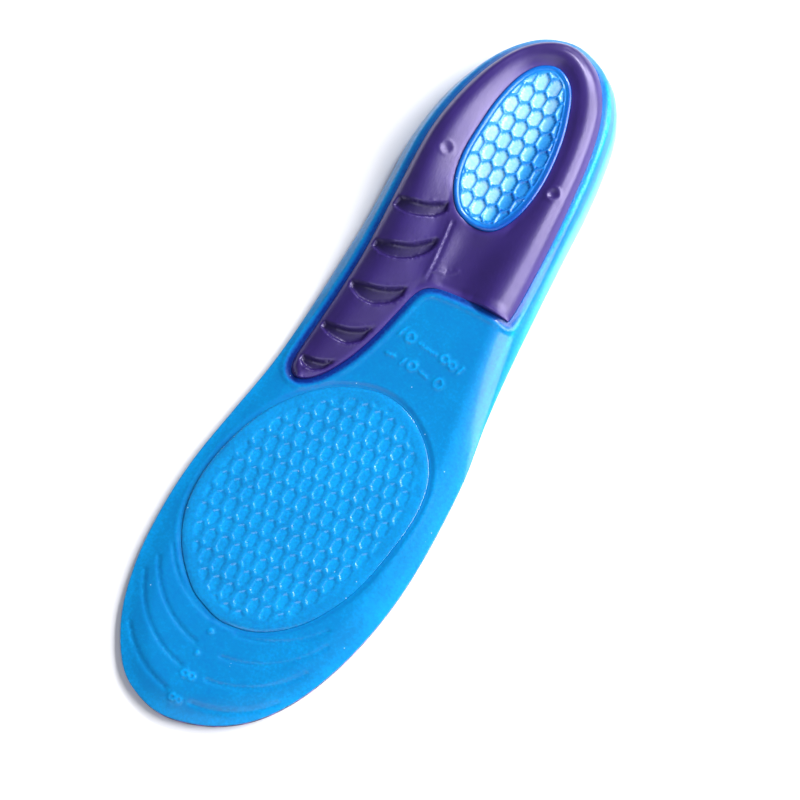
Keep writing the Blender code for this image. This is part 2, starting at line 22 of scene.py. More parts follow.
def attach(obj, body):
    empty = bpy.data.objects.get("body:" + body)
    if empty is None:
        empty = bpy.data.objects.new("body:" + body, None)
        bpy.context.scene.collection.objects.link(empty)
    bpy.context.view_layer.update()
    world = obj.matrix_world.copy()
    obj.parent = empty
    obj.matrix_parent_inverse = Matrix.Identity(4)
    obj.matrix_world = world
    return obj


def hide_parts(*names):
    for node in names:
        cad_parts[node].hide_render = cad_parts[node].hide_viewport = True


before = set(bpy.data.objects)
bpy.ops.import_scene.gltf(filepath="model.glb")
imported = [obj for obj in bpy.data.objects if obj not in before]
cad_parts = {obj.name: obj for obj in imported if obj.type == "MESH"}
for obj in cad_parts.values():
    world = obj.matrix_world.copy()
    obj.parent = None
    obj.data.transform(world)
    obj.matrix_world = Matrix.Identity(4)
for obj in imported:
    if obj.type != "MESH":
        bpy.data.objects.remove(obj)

Array = np.ndarray
Curve = Sequence[tuple[float, float]]
Tree = bpy.types.NodeTree
Socket = bpy.types.NodeSocket
Inputs = dict[str | int, object]
MM = 0.001
HOME = np.array((0.069, -130.46))  # plan to shared frame, in millimetres
KEY_STRIDE = 100003  # joins the two numbers of a square into one key
HEIGHT_HALVINGS = 18  # steps of the search for a height round the cup wall
RIM_HALVINGS = 20  # steps of the search for the angle at the shoulder
LOG = logging.getLogger("insole")


# ---- plan curves ------------------------------------------------------------------------------
class PlanCurve(Enum):
    """Control points of the insole's curves in plan, each (across, station) in millimetres."""

    OUTLINE = (
        (-2.0, -1.2), (-13.6, 0.7), (-22.4, 6.7), (-31.0, 19.8), (-36.5, 37.0), (-39.0, 56.0),
        (-39.2, 74.0), (-37.4, 93.0), (-35.4, 112.0), (-34.8, 130.0), (-35.0, 150.0),
        (-35.6, 170.0), (-37.0, 186.0), (-38.5, 201.0), (-38.0, 215.0), (-35.4, 228.9),
        (-30.0, 242.7), (-21.0, 253.8), (-10.0, 258.8), (0.2, 257.4), (10.4, 251.4),
        (17.7, 240.1), (21.5, 226.0), (24.0, 210.0), (25.4, 194.0), (27.4, 174.0),
        (30.2, 152.0), (33.5, 131.0), (37.4, 112.0), (39.6, 90.0), (40.2, 72.0),
        (39.0, 55.5), (35.8, 39.0), (30.6, 24.2), (22.6, 11.7), (11.6, 3.2),
    )
    INSERT_OUTER = (
        (-26.6, 113.2), (-29.4, 116.4), (-29.8, 124.0), (-29.4, 134.0), (-29.0, 146.0),
        (-29.0, 158.0), (-29.8, 170.0), (-30.8, 182.0), (-31.8, 196.0), (-32.0, 208.0),
        (-30.4, 222.0), (-27.2, 234.7), (-22.2, 245.0), (-15.0, 252.0), (-7.0, 254.7),
        (0.6, 252.6), (7.6, 246.1), (13.2, 236.2), (17.0, 223.0), (19.4, 208.0),
        (21.2, 192.0), (22.4, 176.0), (22.8, 163.6),
    )
    INSERT_INNER = (
        (21.2, 162.2), (12.0, 161.8), (3.0, 161.0), (-3.6, 159.4), (-7.2, 155.6),
        (-9.2, 147.0), (-11.4, 137.0), (-14.6, 127.0), (-19.0, 118.4), (-23.2, 114.0),
    )
    WINDOW = (
        (-6.6, 244.2), (-12.6, 242.4), (-16.6, 236.4), (-18.8, 226.0), (-19.2, 214.0),
        (-18.6, 202.0), (-15.8, 192.2), (-10.2, 185.0), (-2.6, 182.9), (4.2, 185.4),
        (8.2, 194.0), (9.3, 205.0), (8.1, 217.0), (5.0, 229.0), (0.0, 239.8),
    )
    RIDGE_INNER = (
        (9.4, 160.0), (8.6, 174.0), (8.0, 190.0), (9.3, 205.0), (8.1, 217.0), (5.0, 229.0),
        (0.0, 239.8), (-6.6, 244.2), (-12.6, 242.4), (-16.6, 236.4), (-18.8, 226.0),
        (-19.2, 214.0), (-18.6, 202.0), (-15.2, 190.0), (-10.6, 178.0), (-8.4, 163.0),
        (-8.0, 154.0), (-9.2, 147.0), (-11.4, 137.0), (-14.6, 127.0), (-19.0, 118.4),
        (-23.2, 114.0),
    )
    BALL = (
        (-2.0, 31.8), (8.5, 34.4), (17.9, 41.6), (24.6, 51.6), (29.2, 64.4), (31.4, 80.0),
        (31.8, 93.4), (29.4, 105.1), (23.0, 114.6), (13.6, 121.2), (3.6, 123.6),
        (-6.6, 121.6), (-17.4, 115.0), (-26.6, 103.6), (-32.2, 89.8), (-34.8, 73.7),
        (-33.4, 59.1), (-27.6, 46.8), (-17.8, 37.0), (-9.8, 33.2),
    )
    FOLD = ((-9.9, 180.6), (-9.1, 176.0), (-8.6, 172.0), (-7.9, 166.8), (-7.4, 161.0))
    HALF_MOON = ((-6.6, 164.0), (-4.4, 164.7), (-1.8, 165.8), (0.6, 168.6))


CRESCENTS: tuple[tuple[Curve, Curve], ...] = (
    (
        ((-28.4, 180.0), (-23.7, 180.5), (-20.0, 181.7), (-17.4, 183.4), (-13.8, 186.2)),
        ((-29.0, 176.6), (-25.6, 175.4), (-21.6, 175.8), (-17.5, 177.7), (-14.6, 179.9),
         (-12.6, 183.0)),
    ),
    (
        ((-27.6, 164.1), (-22.4, 165.3), (-17.5, 167.4), (-14.7, 169.8), (-10.6, 174.2)),
        ((-27.6, 161.6), (-23.1, 160.2), (-18.6, 161.1), (-15.0, 163.3), (-12.3, 166.0),
         (-10.4, 169.0), (-9.6, 172.2)),
    ),
    (
        ((-27.4, 148.9), (-22.7, 149.6), (-18.4, 150.7), (-14.7, 152.6), (-10.6, 155.6)),
        ((-26.6, 146.4), (-22.2, 144.5), (-18.4, 144.6), (-15.5, 145.9), (-12.2, 148.7),
         (-10.2, 152.4)),
    ),
    (
        ((-27.6, 133.3), (-22.9, 133.7), (-19.2, 134.8), (-16.1, 136.7), (-12.8, 139.4)),
        ((-28.0, 131.0), (-23.5, 129.5), (-19.1, 129.6), (-16.7, 130.7), (-14.0, 133.4)),
    ),
    (
        ((-28.0, 120.3), (-24.2, 120.7), (-21.1, 121.8), (-17.4, 124.2)),
        ((-27.8, 118.1), (-25.0, 117.0), (-22.2, 117.3), (-19.4, 119.4)),
    ),
)


def smooth_curve(points: Curve, per_span: int, closed: bool) -> Array:
    """Catmull-Rom curve through the points.

    Each span is the cubic whose slope at a control point is half the step between its neighbours.

    Args:
        points: control points (across, station).
        per_span: steps in each span.
        closed: whether the last point runs on to the first.

    Returns:
        An array of (across, station) points; an open curve keeps both its ends.
    """
    p = np.asarray(points, float)
    if not closed:
        p = np.vstack([2 * p[0] - p[1], p, 2 * p[-1] - p[-2]])
    before, after, beyond = np.roll(p, 1, 0), np.roll(p, -1, 0), np.roll(p, -2, 0)
    t = (np.arange(per_span) / per_span)[None, :, None]
    curve = 0.5 * (
        2 * p[:, None]
        + (after - before)[:, None] * t
        + (2 * before - 5 * p + 4 * after - beyond)[:, None] * t**2
        + (3 * p - before - 3 * after + beyond)[:, None] * t**3
    )
    if closed:
        return curve.reshape(-1, 2)
    return np.vstack([curve[1:-2].reshape(-1, 2), p[-2]])


def walk(line: Array, step: float, closed: bool) -> Array:
    """The line walked in equal steps close to the step asked for, in millimetres.

    Args:
        line: points in order.
        step: length of step asked for.
        closed: whether the last point runs on to the first.

    Returns:
        The points walked to; an open line keeps both its ends.
    """
    path = np.vstack([line, line[:1]]) if closed else line
    run = np.concatenate([[0], np.cumsum(np.linalg.norm(np.diff(path, axis=0), axis=1))])
    count = max(3, int(round(run[-1] / step)))
    at = np.linspace(0, run[-1], count + 1)[: count if closed else None]
    return np.stack([np.interp(at, run, path[:, k]) for k in range(path.shape[1])], 1)


def outward_normals(loop: Array) -> Array:
    """Unit normals of a closed loop that point away from its inside.

    Args:
        loop: points of the closed loop.

    Returns:
        A unit direction for each point.
    """
    ahead = np.roll(loop, -1, 0) - np.roll(loop, 1, 0)
    normal = np.stack([ahead[:, 1], -ahead[:, 0]], 1)
    normal /= np.linalg.norm(normal, axis=1)[:, None]
    x, y = loop.T
    return normal * np.sign(np.sum(x * np.roll(y, -1) - y * np.roll(x, -1)))


def distance_to(points: Array, line: Array, closed: bool) -> Array:
    """Distance from each point to the nearest point of a line of straight steps.

    Args:
        points: points asked about.
        line: points of the line.
        closed: whether the last point runs on to the first.

    Returns:
        A distance for each point asked about.
    """
    path = np.vstack([line, line[:1]]) if closed else line
    x0, y0 = path[:-1].T
    ax, ay = np.diff(path, axis=0).T
    length = np.maximum(ax**2 + ay**2, 1e-12)
    found = [np.empty(0)]
    for part in np.array_split(points, max(1, len(points) // 3000)):
        gx, gy = part[:, :1] - x0, part[:, 1:] - y0
        t = np.clip((gx * ax + gy * ay) / length, 0, 1)
        found.append(np.sqrt(((gx - t * ax) ** 2 + (gy - t * ay) ** 2).min(1)))
    return np.concatenate(found)


def inside(points: Array, loop: Array) -> Array:
    """Which points lie inside the closed loop, by counting the sides that a ray crosses.

    Args:
        points: points asked about.
        loop: points of the closed loop.

    Returns:
        True for each point inside.
    """
    x0, y0 = loop.T
    x1, y1 = np.roll(x0, -1), np.roll(y0, -1)
    rise = np.where(y1 == y0, 1e-12, y1 - y0)
    found = [np.empty(0, bool)]
    for part in np.array_split(points, max(1, len(points) // 6000)):
        x, y = part[:, :1], part[:, 1:]
        crossing = ((y0 > y) != (y1 > y)) & (x < (x1 - x0) * (y - y0) / rise + x0)
        found.append(crossing.sum(1) % 2 == 1)
    return np.concatenate(found)


@dataclass
class PlanLoop:
    """A closed curve in plan that knows how far inside it a point lies.

    The distance is worked out once on a raster and read between the raster's points, because the
    curves are asked about hundreds of thousands of times.
    """

    points: Array
    pitch: float = 0.5
    corner: tuple[float, float] = (-44.0, -5.0)
    size: tuple[int, int] = (177, 541)
    raster: Array | None = None

    def exact(self, plan: Array) -> Array:
        """Distance inwards from the curve, negative outside it."""
        return distance_to(plan, self.points, True) * np.where(inside(plan, self.points), 1.0, -1.0)

    def inset(self, plan: Array) -> Array:
        """The same distance, read from the raster by weighing its four nearest points.

        Args:
            plan: points (across, station) in millimetres.

        Returns:
            A distance for each point, negative outside the curve.
        """
        if self.raster is None:
            x = self.corner[0] + np.arange(self.size[0]) * self.pitch
            y = self.corner[1] + np.arange(self.size[1]) * self.pitch
            grid = np.stack(np.meshgrid(x, y, indexing="ij"), 2)
            self.raster = self.exact(grid.reshape(-1, 2)).reshape(self.size)
        place = (plan - self.corner) / self.pitch
        cell = np.clip(np.floor(place).astype(int), 0, np.array(self.size) - 2)
        u, v = np.clip(place - cell, 0, 1).T
        i, j = cell.T
        r = self.raster
        near = r[i, j] * (1 - v) + r[i, j + 1] * v
        far = r[i + 1, j] * (1 - v) + r[i + 1, j + 1] * v
        return near * (1 - u) + far * u

    def moved(self, distance: float) -> Array:
        """The curve's points moved outwards along their normals."""
        return self.points + outward_normals(self.points) * distance


def smoothstep(value: Array | float, low: float, high: float) -> Array:
    """3t^2 - 2t^3 of the value's share t of the way from low to high."""
    t = np.clip((np.asarray(value, float) - low) / (high - low), 0, 1)
    return t * t * (3 - 2 * t)


def hill(value: Array, middle: float, half_width: float) -> Array:
    """A bell of height 1 at the middle, exp(-(v - m)^2 / w^2)."""
    return np.exp(-(((value - middle) / half_width) ** 2))


def beside(line: Array) -> Array:
    """Unit directions square to an open line at each of its points."""
    across = np.gradient(line, axis=0)[:, ::-1] * (1, -1)
    return across / np.maximum(np.linalg.norm(across, axis=1)[:, None], 1e-9)


def loop_of(points: Curve, step: float) -> PlanLoop:
    """The smooth closed curve through the points, in equal steps."""
    return PlanLoop(walk(smooth_curve(points, 16, True), step, True))


def along_line(plan: Array, line: Array, half_width: float) -> Array:
    """A bell of height 1 over an open line, worked out only for the points near it.

    Args:
        plan: points (across, station) in millimetres.
        line: points of the open line.
        half_width: distance at which the bell has fallen to 1/e.

    Returns:
        A value for each point.
    """
    reach = 3 * half_width
    near = ((plan > line.min(0) - reach) & (plan < line.max(0) + reach)).all(1)
    values = np.zeros(len(plan))
    values[near] = hill(distance_to(plan[near], line, False), 0, half_width)
    return values


OUTLINE = loop_of(PlanCurve.OUTLINE.value, 1.3)
INSERT = loop_of(PlanCurve.INSERT_OUTER.value + PlanCurve.INSERT_INNER.value, 0.6)
WINDOW = loop_of(PlanCurve.WINDOW.value, 0.5)
BALL = loop_of(PlanCurve.BALL.value, 0.7)


# ---- the form that every layer follows ------------------------------------------------------------
@dataclass(frozen=True)
class Last:
    """The cupped form of the foot side and the thickness of the layers over it, in millimetres."""

    cup_depth: float = 11.5
    cup_start: float = 105.0
    cup_full: float = 215.0
    wall_run: float = 9.5
    inset_cup: float = 2.9
    inset_flat: float = 0.4
    rim_cup: float = 2.9
    rim_flat: float = 2.4
    forefoot: float = 4.0
    waist: float = 4.8
    heel: float = 6.6

    def cup(self, station: Array) -> Array:
        """Height of the foot side along the middle of the insole."""
        return self.cup_depth * smoothstep(station, self.cup_start, self.cup_full)

    def rim_inset(self, station: Array) -> Array:
        """How far the edge of the cloth lies inside the edge of the gel."""
        share = self.cup(station) / self.cup_depth
        return self.inset_flat + (self.inset_cup - self.inset_flat) * share

    def stack(self, station: Array) -> Array:
        """Thickness of all layers along the middle of the insole."""
        waist = self.forefoot + (self.waist - self.forefoot) * smoothstep(station, 112, 150)
        return waist + (self.heel - self.waist) * smoothstep(station, 165, 215)

    def gel_lift(self, turn: Array, station: Array) -> Array:
        """Thickness of all layers at an angle round the cup wall: a straight slope, then level.

        The slope climbs with the share f = (1 - cos turn) of the wall's run, and levels off at
        the end of it with f - f^6 / 6.

        Args:
            turn: angle round the cup wall, 0 at the rim.
            station: distance from the toe tip.

        Returns:
            A thickness for each point, in millimetres.
        """
        share = self.cup(station) / self.cup_depth
        rim = self.rim_flat + (self.rim_cup - self.rim_flat) * share
        run = 1 - np.cos(turn)
        level = (run - run**6 / 6) * 1.2
        return rim + (self.stack(station) - rim) * level

    def ring(self, edge: Array, inwards: Array, turn: Array, lift: Array) -> Array:
        """Points that lie `lift` outside the foot side, at an angle round the cup wall.

        The wall is a quarter ellipse: depth = inset + run (1 - cos turn), height = cup sin turn,
        and the lift leans out by (90 degrees - turn) times the share of the cup.

        Args:
            edge: outline points.
            inwards: unit directions from them towards the middle.
            turn: angle of each, 0 at the rim and 90 degrees at the wall's foot.
            lift: thickness outside the foot side.

        Returns:
            An array of (across, station, height).
        """
        height = self.cup(edge[:, 1])
        lean = height / self.cup_depth * (math.pi / 2 - turn)
        depth = self.rim_inset(edge[:, 1]) + self.wall_run * (1 - np.cos(turn)) - lift * np.sin(lean)
        plan = edge + inwards * depth[:, None]
        return np.column_stack([plan, height * np.sin(turn) + lift * np.cos(lean)])

    def height(self, plan: Array, lift: Callable[[Array, Array], Array]) -> Array:
        """Height over the plan of the surface that lies `lift(turn, station)` outside the foot side.

        The turn whose depth is the point's distance from the outline is found by halving.

        Args:
            plan: points (across, station) in millimetres.
            lift: thickness outside the foot side, from the turn and the station.

        Returns:
            A height for each point, in millimetres.
        """
        station = plan[:, 1]
        cup = self.cup(station)
        share = cup / self.cup_depth
        depth = OUTLINE.inset(plan)
        edge = self.rim_inset(station)
        low, high = np.zeros(len(plan)), np.full(len(plan), math.pi / 2)
        for _ in range(HEIGHT_HALVINGS):
            turn = (low + high) / 2
            lean = share * (math.pi / 2 - turn)
            reached = edge + self.wall_run * (1 - np.cos(turn)) - lift(turn, station) * np.sin(lean)
            low, high = np.where(reached < depth, turn, low), np.where(reached < depth, high, turn)
        lean = share * (math.pi / 2 - high)
        return cup * np.sin(high) + lift(high, station) * np.cos(lean)


LAST = Last()


# ---- meshes -----------------------------------------------------------------------------------------
def lattice(loops: Sequence[PlanLoop], spacing: float, clearance: float) -> Array:
    """A staggered lattice of points inside the first loop, outside the others, clear of them all.

    Args:
        loops: the outside loop, then any holes.
        spacing: distance between points of a row.
        clearance: least distance from every loop.

    Returns:
        The points kept.
    """
    low, high = loops[0].points.min(0), loops[0].points.max(0)
    rows = np.arange(low[1] + spacing / 2, high[1], spacing * 0.87)
    columns = np.arange(low[0] + spacing / 2, high[0], spacing)
    x, y = np.meshgrid(columns, rows)
    x = x + (np.arange(len(rows)) % 2)[:, None] * spacing / 2
    points = np.stack([x.ravel(), y.ravel()], 1)
    kept = loops[0].inset(points) > clearance
    for hole in loops[1:]:
        kept &= hole.inset(points) < -clearance
    return points[kept]


def gathered(families: Sequence[Array], room: float) -> Array:
    """Families of points laid one after another, each leaving out what falls on an earlier one.

    Args:
        families: point arrays, the most important first; a family's own points all stay.
        room: side of the squares by which two points count as falling together.

    Returns:
        All points that were kept.
    """
    taken = np.empty(0, np.int64)
    kept = []
    for points in families:
        cell = np.floor(points / room).astype(np.int64)
        key = cell[:, 0] * KEY_STRIDE + cell[:, 1]
        free = ~np.isin(key, taken)
        kept.append(points[free])
        around = [cell[free] + (i, j) for i in (-1, 0, 1) for j in (-1, 0, 1)]
        nearby = [c[:, 0] * KEY_STRIDE + c[:, 1] for c in around]
        taken = np.unique(np.concatenate([taken, *nearby]))
    return np.vstack(kept)


def plan_triangles(loops: Sequence[Array], points: Array) -> tuple[Array, Array]:
    """Triangles over the plan between the first loop and the others, through the given points.

    Args:
        loops: closed loops; the first is the outside and any other is a hole.
        points: further points inside.

    Returns:
        The plan points, and the triangles' corners counted anticlockwise.
    """
    starts = np.cumsum([0, *[len(loop) for loop in loops]])
    steps = [start + np.arange(len(loop)) for start, loop in zip(starts, loops)]
    edges = np.vstack([np.stack([step, np.roll(step, -1)], 1) for step in steps])
    everything = np.vstack([*loops, points])
    made = delaunay_2d_cdt([Vector(p) for p in everything], edges.tolist(), [], 0, 1e-4)
    plan = np.array([tuple(v) for v in made[0]])
    faces = np.array(made[2])
    middles = plan[faces].mean(1)
    kept = inside(middles, loops[0])
    for hole in loops[1:]:
        kept &= ~inside(middles, hole)
    faces = faces[kept]
    used, index = np.unique(faces, return_inverse=True)
    return plan[used], index.reshape(-1, 3)


def border_edges(faces: Array) -> Array:
    """The directed edges of the triangles that no other triangle shares.

    Args:
        faces: corners of the triangles.

    Returns:
        The two ends of each edge.
    """
    ends = np.vstack([faces[:, [0, 1]], faces[:, [1, 2]], faces[:, [2, 0]]])
    keys = np.sort(ends, axis=1)
    _, first, count = np.unique(keys, axis=0, return_index=True, return_counts=True)
    return ends[first[count == 1]]


def piece_of(name: str, points: Array, faces: list[Array], merge: float = 1e-6) -> bpy.types.Object:
    """A smooth-shaded object from points in plan millimetres and lists of faces of one size each.

    Args:
        name: the piece's name.
        points: (across, station, height) in millimetres.
        faces: arrays of corner numbers, one array for triangles and one for quads.
        merge: points this close, in metres, become one.

    Returns:
        The new object, linked to the scene.
    """
    placed = points.copy()
    placed[:, :2] += HOME
    mesh = bpy.data.meshes.new(name)
    corners = np.concatenate([f.ravel() for f in faces]).astype(np.int32)
    sizes = np.concatenate([np.full(len(f), f.shape[1]) for f in faces])
    mesh.vertices.add(len(placed))
    mesh.vertices.foreach_set("co", (placed * MM).astype(np.float32).ravel())
    mesh.loops.add(len(corners))
    mesh.loops.foreach_set("vertex_index", corners)
    mesh.polygons.add(len(sizes))
    starts = np.concatenate([[0], np.cumsum(sizes)[:-1]]).astype(np.int32)
    mesh.polygons.foreach_set("loop_start", starts)
    mesh.update(calc_edges=True)
    mesh.validate()
    thing = bpy.data.objects.new(name, mesh)
    bpy.context.scene.collection.objects.link(thing)
    weld_and_face_out(thing, merge)
    mesh.shade_smooth()
    return thing


def weld_and_face_out(thing: bpy.types.Object, merge: float) -> None:
    """Merges doubled points and turns every face outwards.

    Args:
        thing: the piece.
        merge: points this close, in metres, become one.
    """
    build = bmesh.new()
    build.from_mesh(thing.data)
    bmesh.ops.remove_doubles(build, verts=build.verts, dist=merge)
    bmesh.ops.dissolve_degenerate(build, edges=build.edges, dist=1e-7)
    bmesh.ops.recalc_face_normals(build, faces=build.faces)
    build.to_mesh(thing.data)
    build.free()


def plan_of(thing: bpy.types.Object) -> tuple[Array, Array]:
    """The mesh's points back in plan millimetres, and their heights.

    Args:
        thing: the piece.

    Returns:
        Its points (across, station), and its heights.
    """
    co = np.empty(len(thing.data.vertices) * 3, np.float32)
    thing.data.vertices.foreach_get("co", co)
    co = co.reshape(-1, 3).astype(float) / MM
    return co[:, :2] - HOME, co[:, 2]


def set_tone(thing: bpy.types.Object, name: str, values: Array) -> None:
    """Writes one number for each point of the mesh under a name that materials read."""
    layer = thing.data.attributes.new(name, "FLOAT", "POINT")
    layer.data.foreach_set("value", np.asarray(values, np.float32))


def slab(name: str, plan: Array, faces: Array, top: Array, bottom: Array) -> bpy.types.Object:
    """A closed solid over plan triangles: the top, the bottom turned over, and upright sides.

    Args:
        name: the piece's name.
        plan: points (across, station) in millimetres.
        faces: triangles over the plan.
        top: height of the top at each point.
        bottom: height of the underside at each point.

    Returns:
        The new piece.
    """
    count = len(plan)
    points = np.vstack([np.column_stack([plan, top]), np.column_stack([plan, bottom])])
    rim = border_edges(faces)
    sides = np.stack([rim[:, 1], rim[:, 0], rim[:, 0] + count, rim[:, 1] + count], 1)
    return piece_of(name, points, [np.vstack([faces, faces[:, ::-1] + count]), sides])


def relaxed(faces: Array, values: Array, rounds: int, held: Array) -> Array:
    """Values over the triangles' points, each moved half-way to its neighbours' mean every round.

    Args:
        faces: corners of the triangles.
        values: a value for each point.
        rounds: how many times the points move.
        held: True for points that keep their value.

    Returns:
        The new values.
    """
    ends = np.vstack([faces[:, [0, 1]], faces[:, [1, 2]], faces[:, [2, 0]]])
    a, b = np.vstack([ends, ends[:, ::-1]]).T
    near = np.maximum(np.bincount(a, minlength=len(values)), 1)
    values = values.copy()
    for _ in range(rounds):
        mean = np.bincount(a, weights=values[b], minlength=len(values)) / near
        values = np.where(held, values, (values + mean) / 2)
    return values


# ---- finishes ---------------------------------------------------------------------------------------
def linear(code: str) -> tuple[float, float, float, float]:
    """An sRGB hex colour as linear red, green, blue and 1."""
    parts = [int(code[k : k + 2], 16) / 255 for k in (1, 3, 5)]
    return (*[p / 12.92 if p <= 0.04045 else ((p + 0.055) / 1.055) ** 2.4 for p in parts], 1.0)


def feed(tree: Tree, made: bpy.types.Node, inputs: Inputs) -> None:
    """Links or sets the inputs of a node.

    Args:
        tree: the material's node tree.
        made: the node.
        inputs: by input name or number, an output socket to link or a value to set.
    """
    for name, value in inputs.items():
        if isinstance(value, Socket):
            tree.links.new(value, made.inputs[name])
        else:
            made.inputs[name].default_value = value


def node(tree: Tree, kind: str, inputs: Inputs | None = None, **settings: object) -> bpy.types.Node:
    """Adds a node.

    Args:
        tree: the material's node tree.
        kind: Blender's node type.
        inputs: what `feed` takes.
        settings: attributes of the node itself.

    Returns:
        The new node.
    """
    made = tree.nodes.new(kind)
    for name, value in settings.items():
        setattr(made, name, value)
    feed(tree, made, inputs or {})
    return made


def noise(tree: Tree, place: Socket, scale: float, detail: float) -> Socket:
    """The value of a noise texture."""
    inputs = {"Vector": place, "Scale": scale, "Detail": detail}
    return node(tree, "ShaderNodeTexNoise", inputs).outputs["Fac"]


def calculated(tree: Tree, operation: str, *values: Socket | float) -> Socket:
    """The result of a Math node."""
    return node(tree, "ShaderNodeMath", dict(enumerate(values)), operation=operation).outputs[0]


def varied(tree: Tree, tone: Socket, source: Socket, amount: float) -> Socket:
    """A tone moved by a noise: tone + (source - 0.5) amount."""
    return calculated(tree, "MULTIPLY_ADD", calculated(tree, "ADD", source, -0.5), amount, tone)


def bumped(tree: Tree, height: Socket, strength: float, distance: float) -> Socket:
    """The normal of a surface that a height raises by up to `distance` metres."""
    inputs = {"Height": height, "Strength": strength, "Distance": distance}
    return node(tree, "ShaderNodeBump", inputs).outputs["Normal"]


def ramp(tree: Tree, source: Socket, stops: Sequence[tuple[float, str]]) -> Socket:
    """A colour ramp fed by a socket.

    Args:
        tree: the material's node tree.
        source: the socket that is read as a place from 0 to 1.
        stops: places and their sRGB hex colours.

    Returns:
        The colour's socket.
    """
    made = node(tree, "ShaderNodeValToRGB", {"Fac": source})
    elements = made.color_ramp.elements
    while len(elements) < len(stops):
        elements.new(0.5)
    for element, (place, code) in zip(elements, stops):
        element.position = place
        element.color = linear(code)
    return made.outputs["Color"]


def blank(name: str) -> tuple[bpy.types.Material, Tree, bpy.types.Node, Socket]:
    """A new material.

    Args:
        name: the material's name.

    Returns:
        The material, its tree, its Principled shader and its Object coordinates in metres.
    """
    material = bpy.data.materials.new(name)
    material.use_nodes = True
    tree = material.node_tree
    shader = tree.nodes["Principled BSDF"]
    place = node(tree, "ShaderNodeTexCoord").outputs["Object"]
    return material, tree, shader, place


@dataclass(frozen=True)
class CastGel:
    """Cast polyurethane gel: glossy and faintly cloudy, its depth drawn by a shallow scatter.

    Its `tone` attribute runs from 0, gel over something dark, to 1, a thin edge that light fills;
    the pieces also paint highlights, reflections and shade into it.
    """

    name: str = "cast_gel"
    stops: tuple[tuple[float, str], ...] = (
        (0.0, "#082C84"), (0.22, "#0660B6"), (0.5, "#0082C4"), (0.72, "#00A6F4"), (1.0, "#62DCFF"),
    )
    roughness: float = 0.3
    specular: float = 0.3
    depth_mm: float = 1.4
    scatter: float = 0.3
    coat: float = 0.15
    grain_mm: float = 1.1
    grain: float = 0.12

    def make(self) -> bpy.types.Material:
        """Builds the material.

        Returns:
            The material.
        """
        material, tree, shader, place = blank(self.name)
        tone = node(tree, "ShaderNodeAttribute", attribute_name="tone").outputs["Fac"]
        tone = varied(tree, tone, noise(tree, place, 90.0, 3.0), 0.16)
        tone = varied(tree, tone, noise(tree, place, 1100.0, 2.0), 0.22)
        # Specks of air and dust up to 0.4 mm wide, at the points of every fourth cell or so that
        # happen to lie at the surface.
        cell = node(tree, "ShaderNodeTexVoronoi", {"Vector": place, "Scale": 260.0})
        chance = node(tree, "ShaderNodeSeparateColor", {"Color": cell.outputs["Color"]}).outputs["Red"]
        near = node(tree, "ShaderNodeMapRange", {
            "Value": cell.outputs["Distance"], "From Min": 0.03, "From Max": 0.055,
            "To Min": 0.8, "To Max": 0.0,
        }).outputs[0]
        speck = calculated(tree, "MULTIPLY", calculated(tree, "GREATER_THAN", chance, 0.76), near)
        mixed = node(tree, "ShaderNodeMix", {
            "Factor": speck, "A": ramp(tree, tone, self.stops), "B": linear("#BFEAFF"),
        }, data_type="RGBA")
        # The moulded skin is slightly orange-peeled.
        peel = noise(tree, place, 1000 / self.grain_mm, 2.0)
        feed(tree, shader, {
            "Base Color": mixed.outputs["Result"],
            "Normal": bumped(tree, peel, self.grain, 0.0002),
            "Roughness": self.roughness,
            "IOR": 1.46,
            "Specular IOR Level": self.specular,
            "Subsurface Weight": self.scatter,
            "Subsurface Radius": (0.25, 0.6, 1.0),
            "Subsurface Scale": self.depth_mm * MM,
            "Coat Weight": self.coat,
            "Coat Roughness": 0.12,
        })
        return material


@dataclass(frozen=True)
class MouldedElastomer:
    """Moulded thermoplastic elastomer: dense violet, satin, with broad soft highlights."""

    name: str = "moulded_elastomer"
    stops: tuple[tuple[float, str], ...] = ((0.0, "#140840"), (0.5, "#2C1B62"), (1.0, "#4A34A0"))
    roughness: float = 0.36

    def make(self) -> bpy.types.Material:
        """Builds the material.

        Returns:
            The material.
        """
        material, tree, shader, place = blank(self.name)
        tone = node(tree, "ShaderNodeAttribute", attribute_name="tone").outputs["Fac"]
        cloud = noise(tree, place, 60.0, 4.0)
        # Fine flow marks and grain of the mould, drawn at 0.6 mm so that they show.
        flow = node(tree, "ShaderNodeMapping", {"Vector": place, "Scale": (1.0, 0.3, 1.0)})
        peel = noise(tree, flow.outputs[0], 1600.0, 3.0)
        rough = node(tree, "ShaderNodeMapRange", {
            "Value": cloud, "To Min": self.roughness - 0.04, "To Max": self.roughness + 0.04,
        })
        feed(tree, shader, {
            "Base Color": ramp(tree, varied(tree, tone, cloud, 0.25), self.stops),
            "Normal": bumped(tree, peel, 0.18, 0.0002),
            "Roughness": rough.outputs[0],
            "IOR": 1.52,
            "Specular IOR Level": 0.85,
            "Specular Tint": linear("#E2D8FF"),
            "Subsurface Weight": 0.15,
            "Subsurface Radius": (0.6, 0.4, 1.0),
            "Subsurface Scale": 0.001,
            "Coat Weight": 0.12,
            "Coat Roughness": 0.3,
        })
        return material


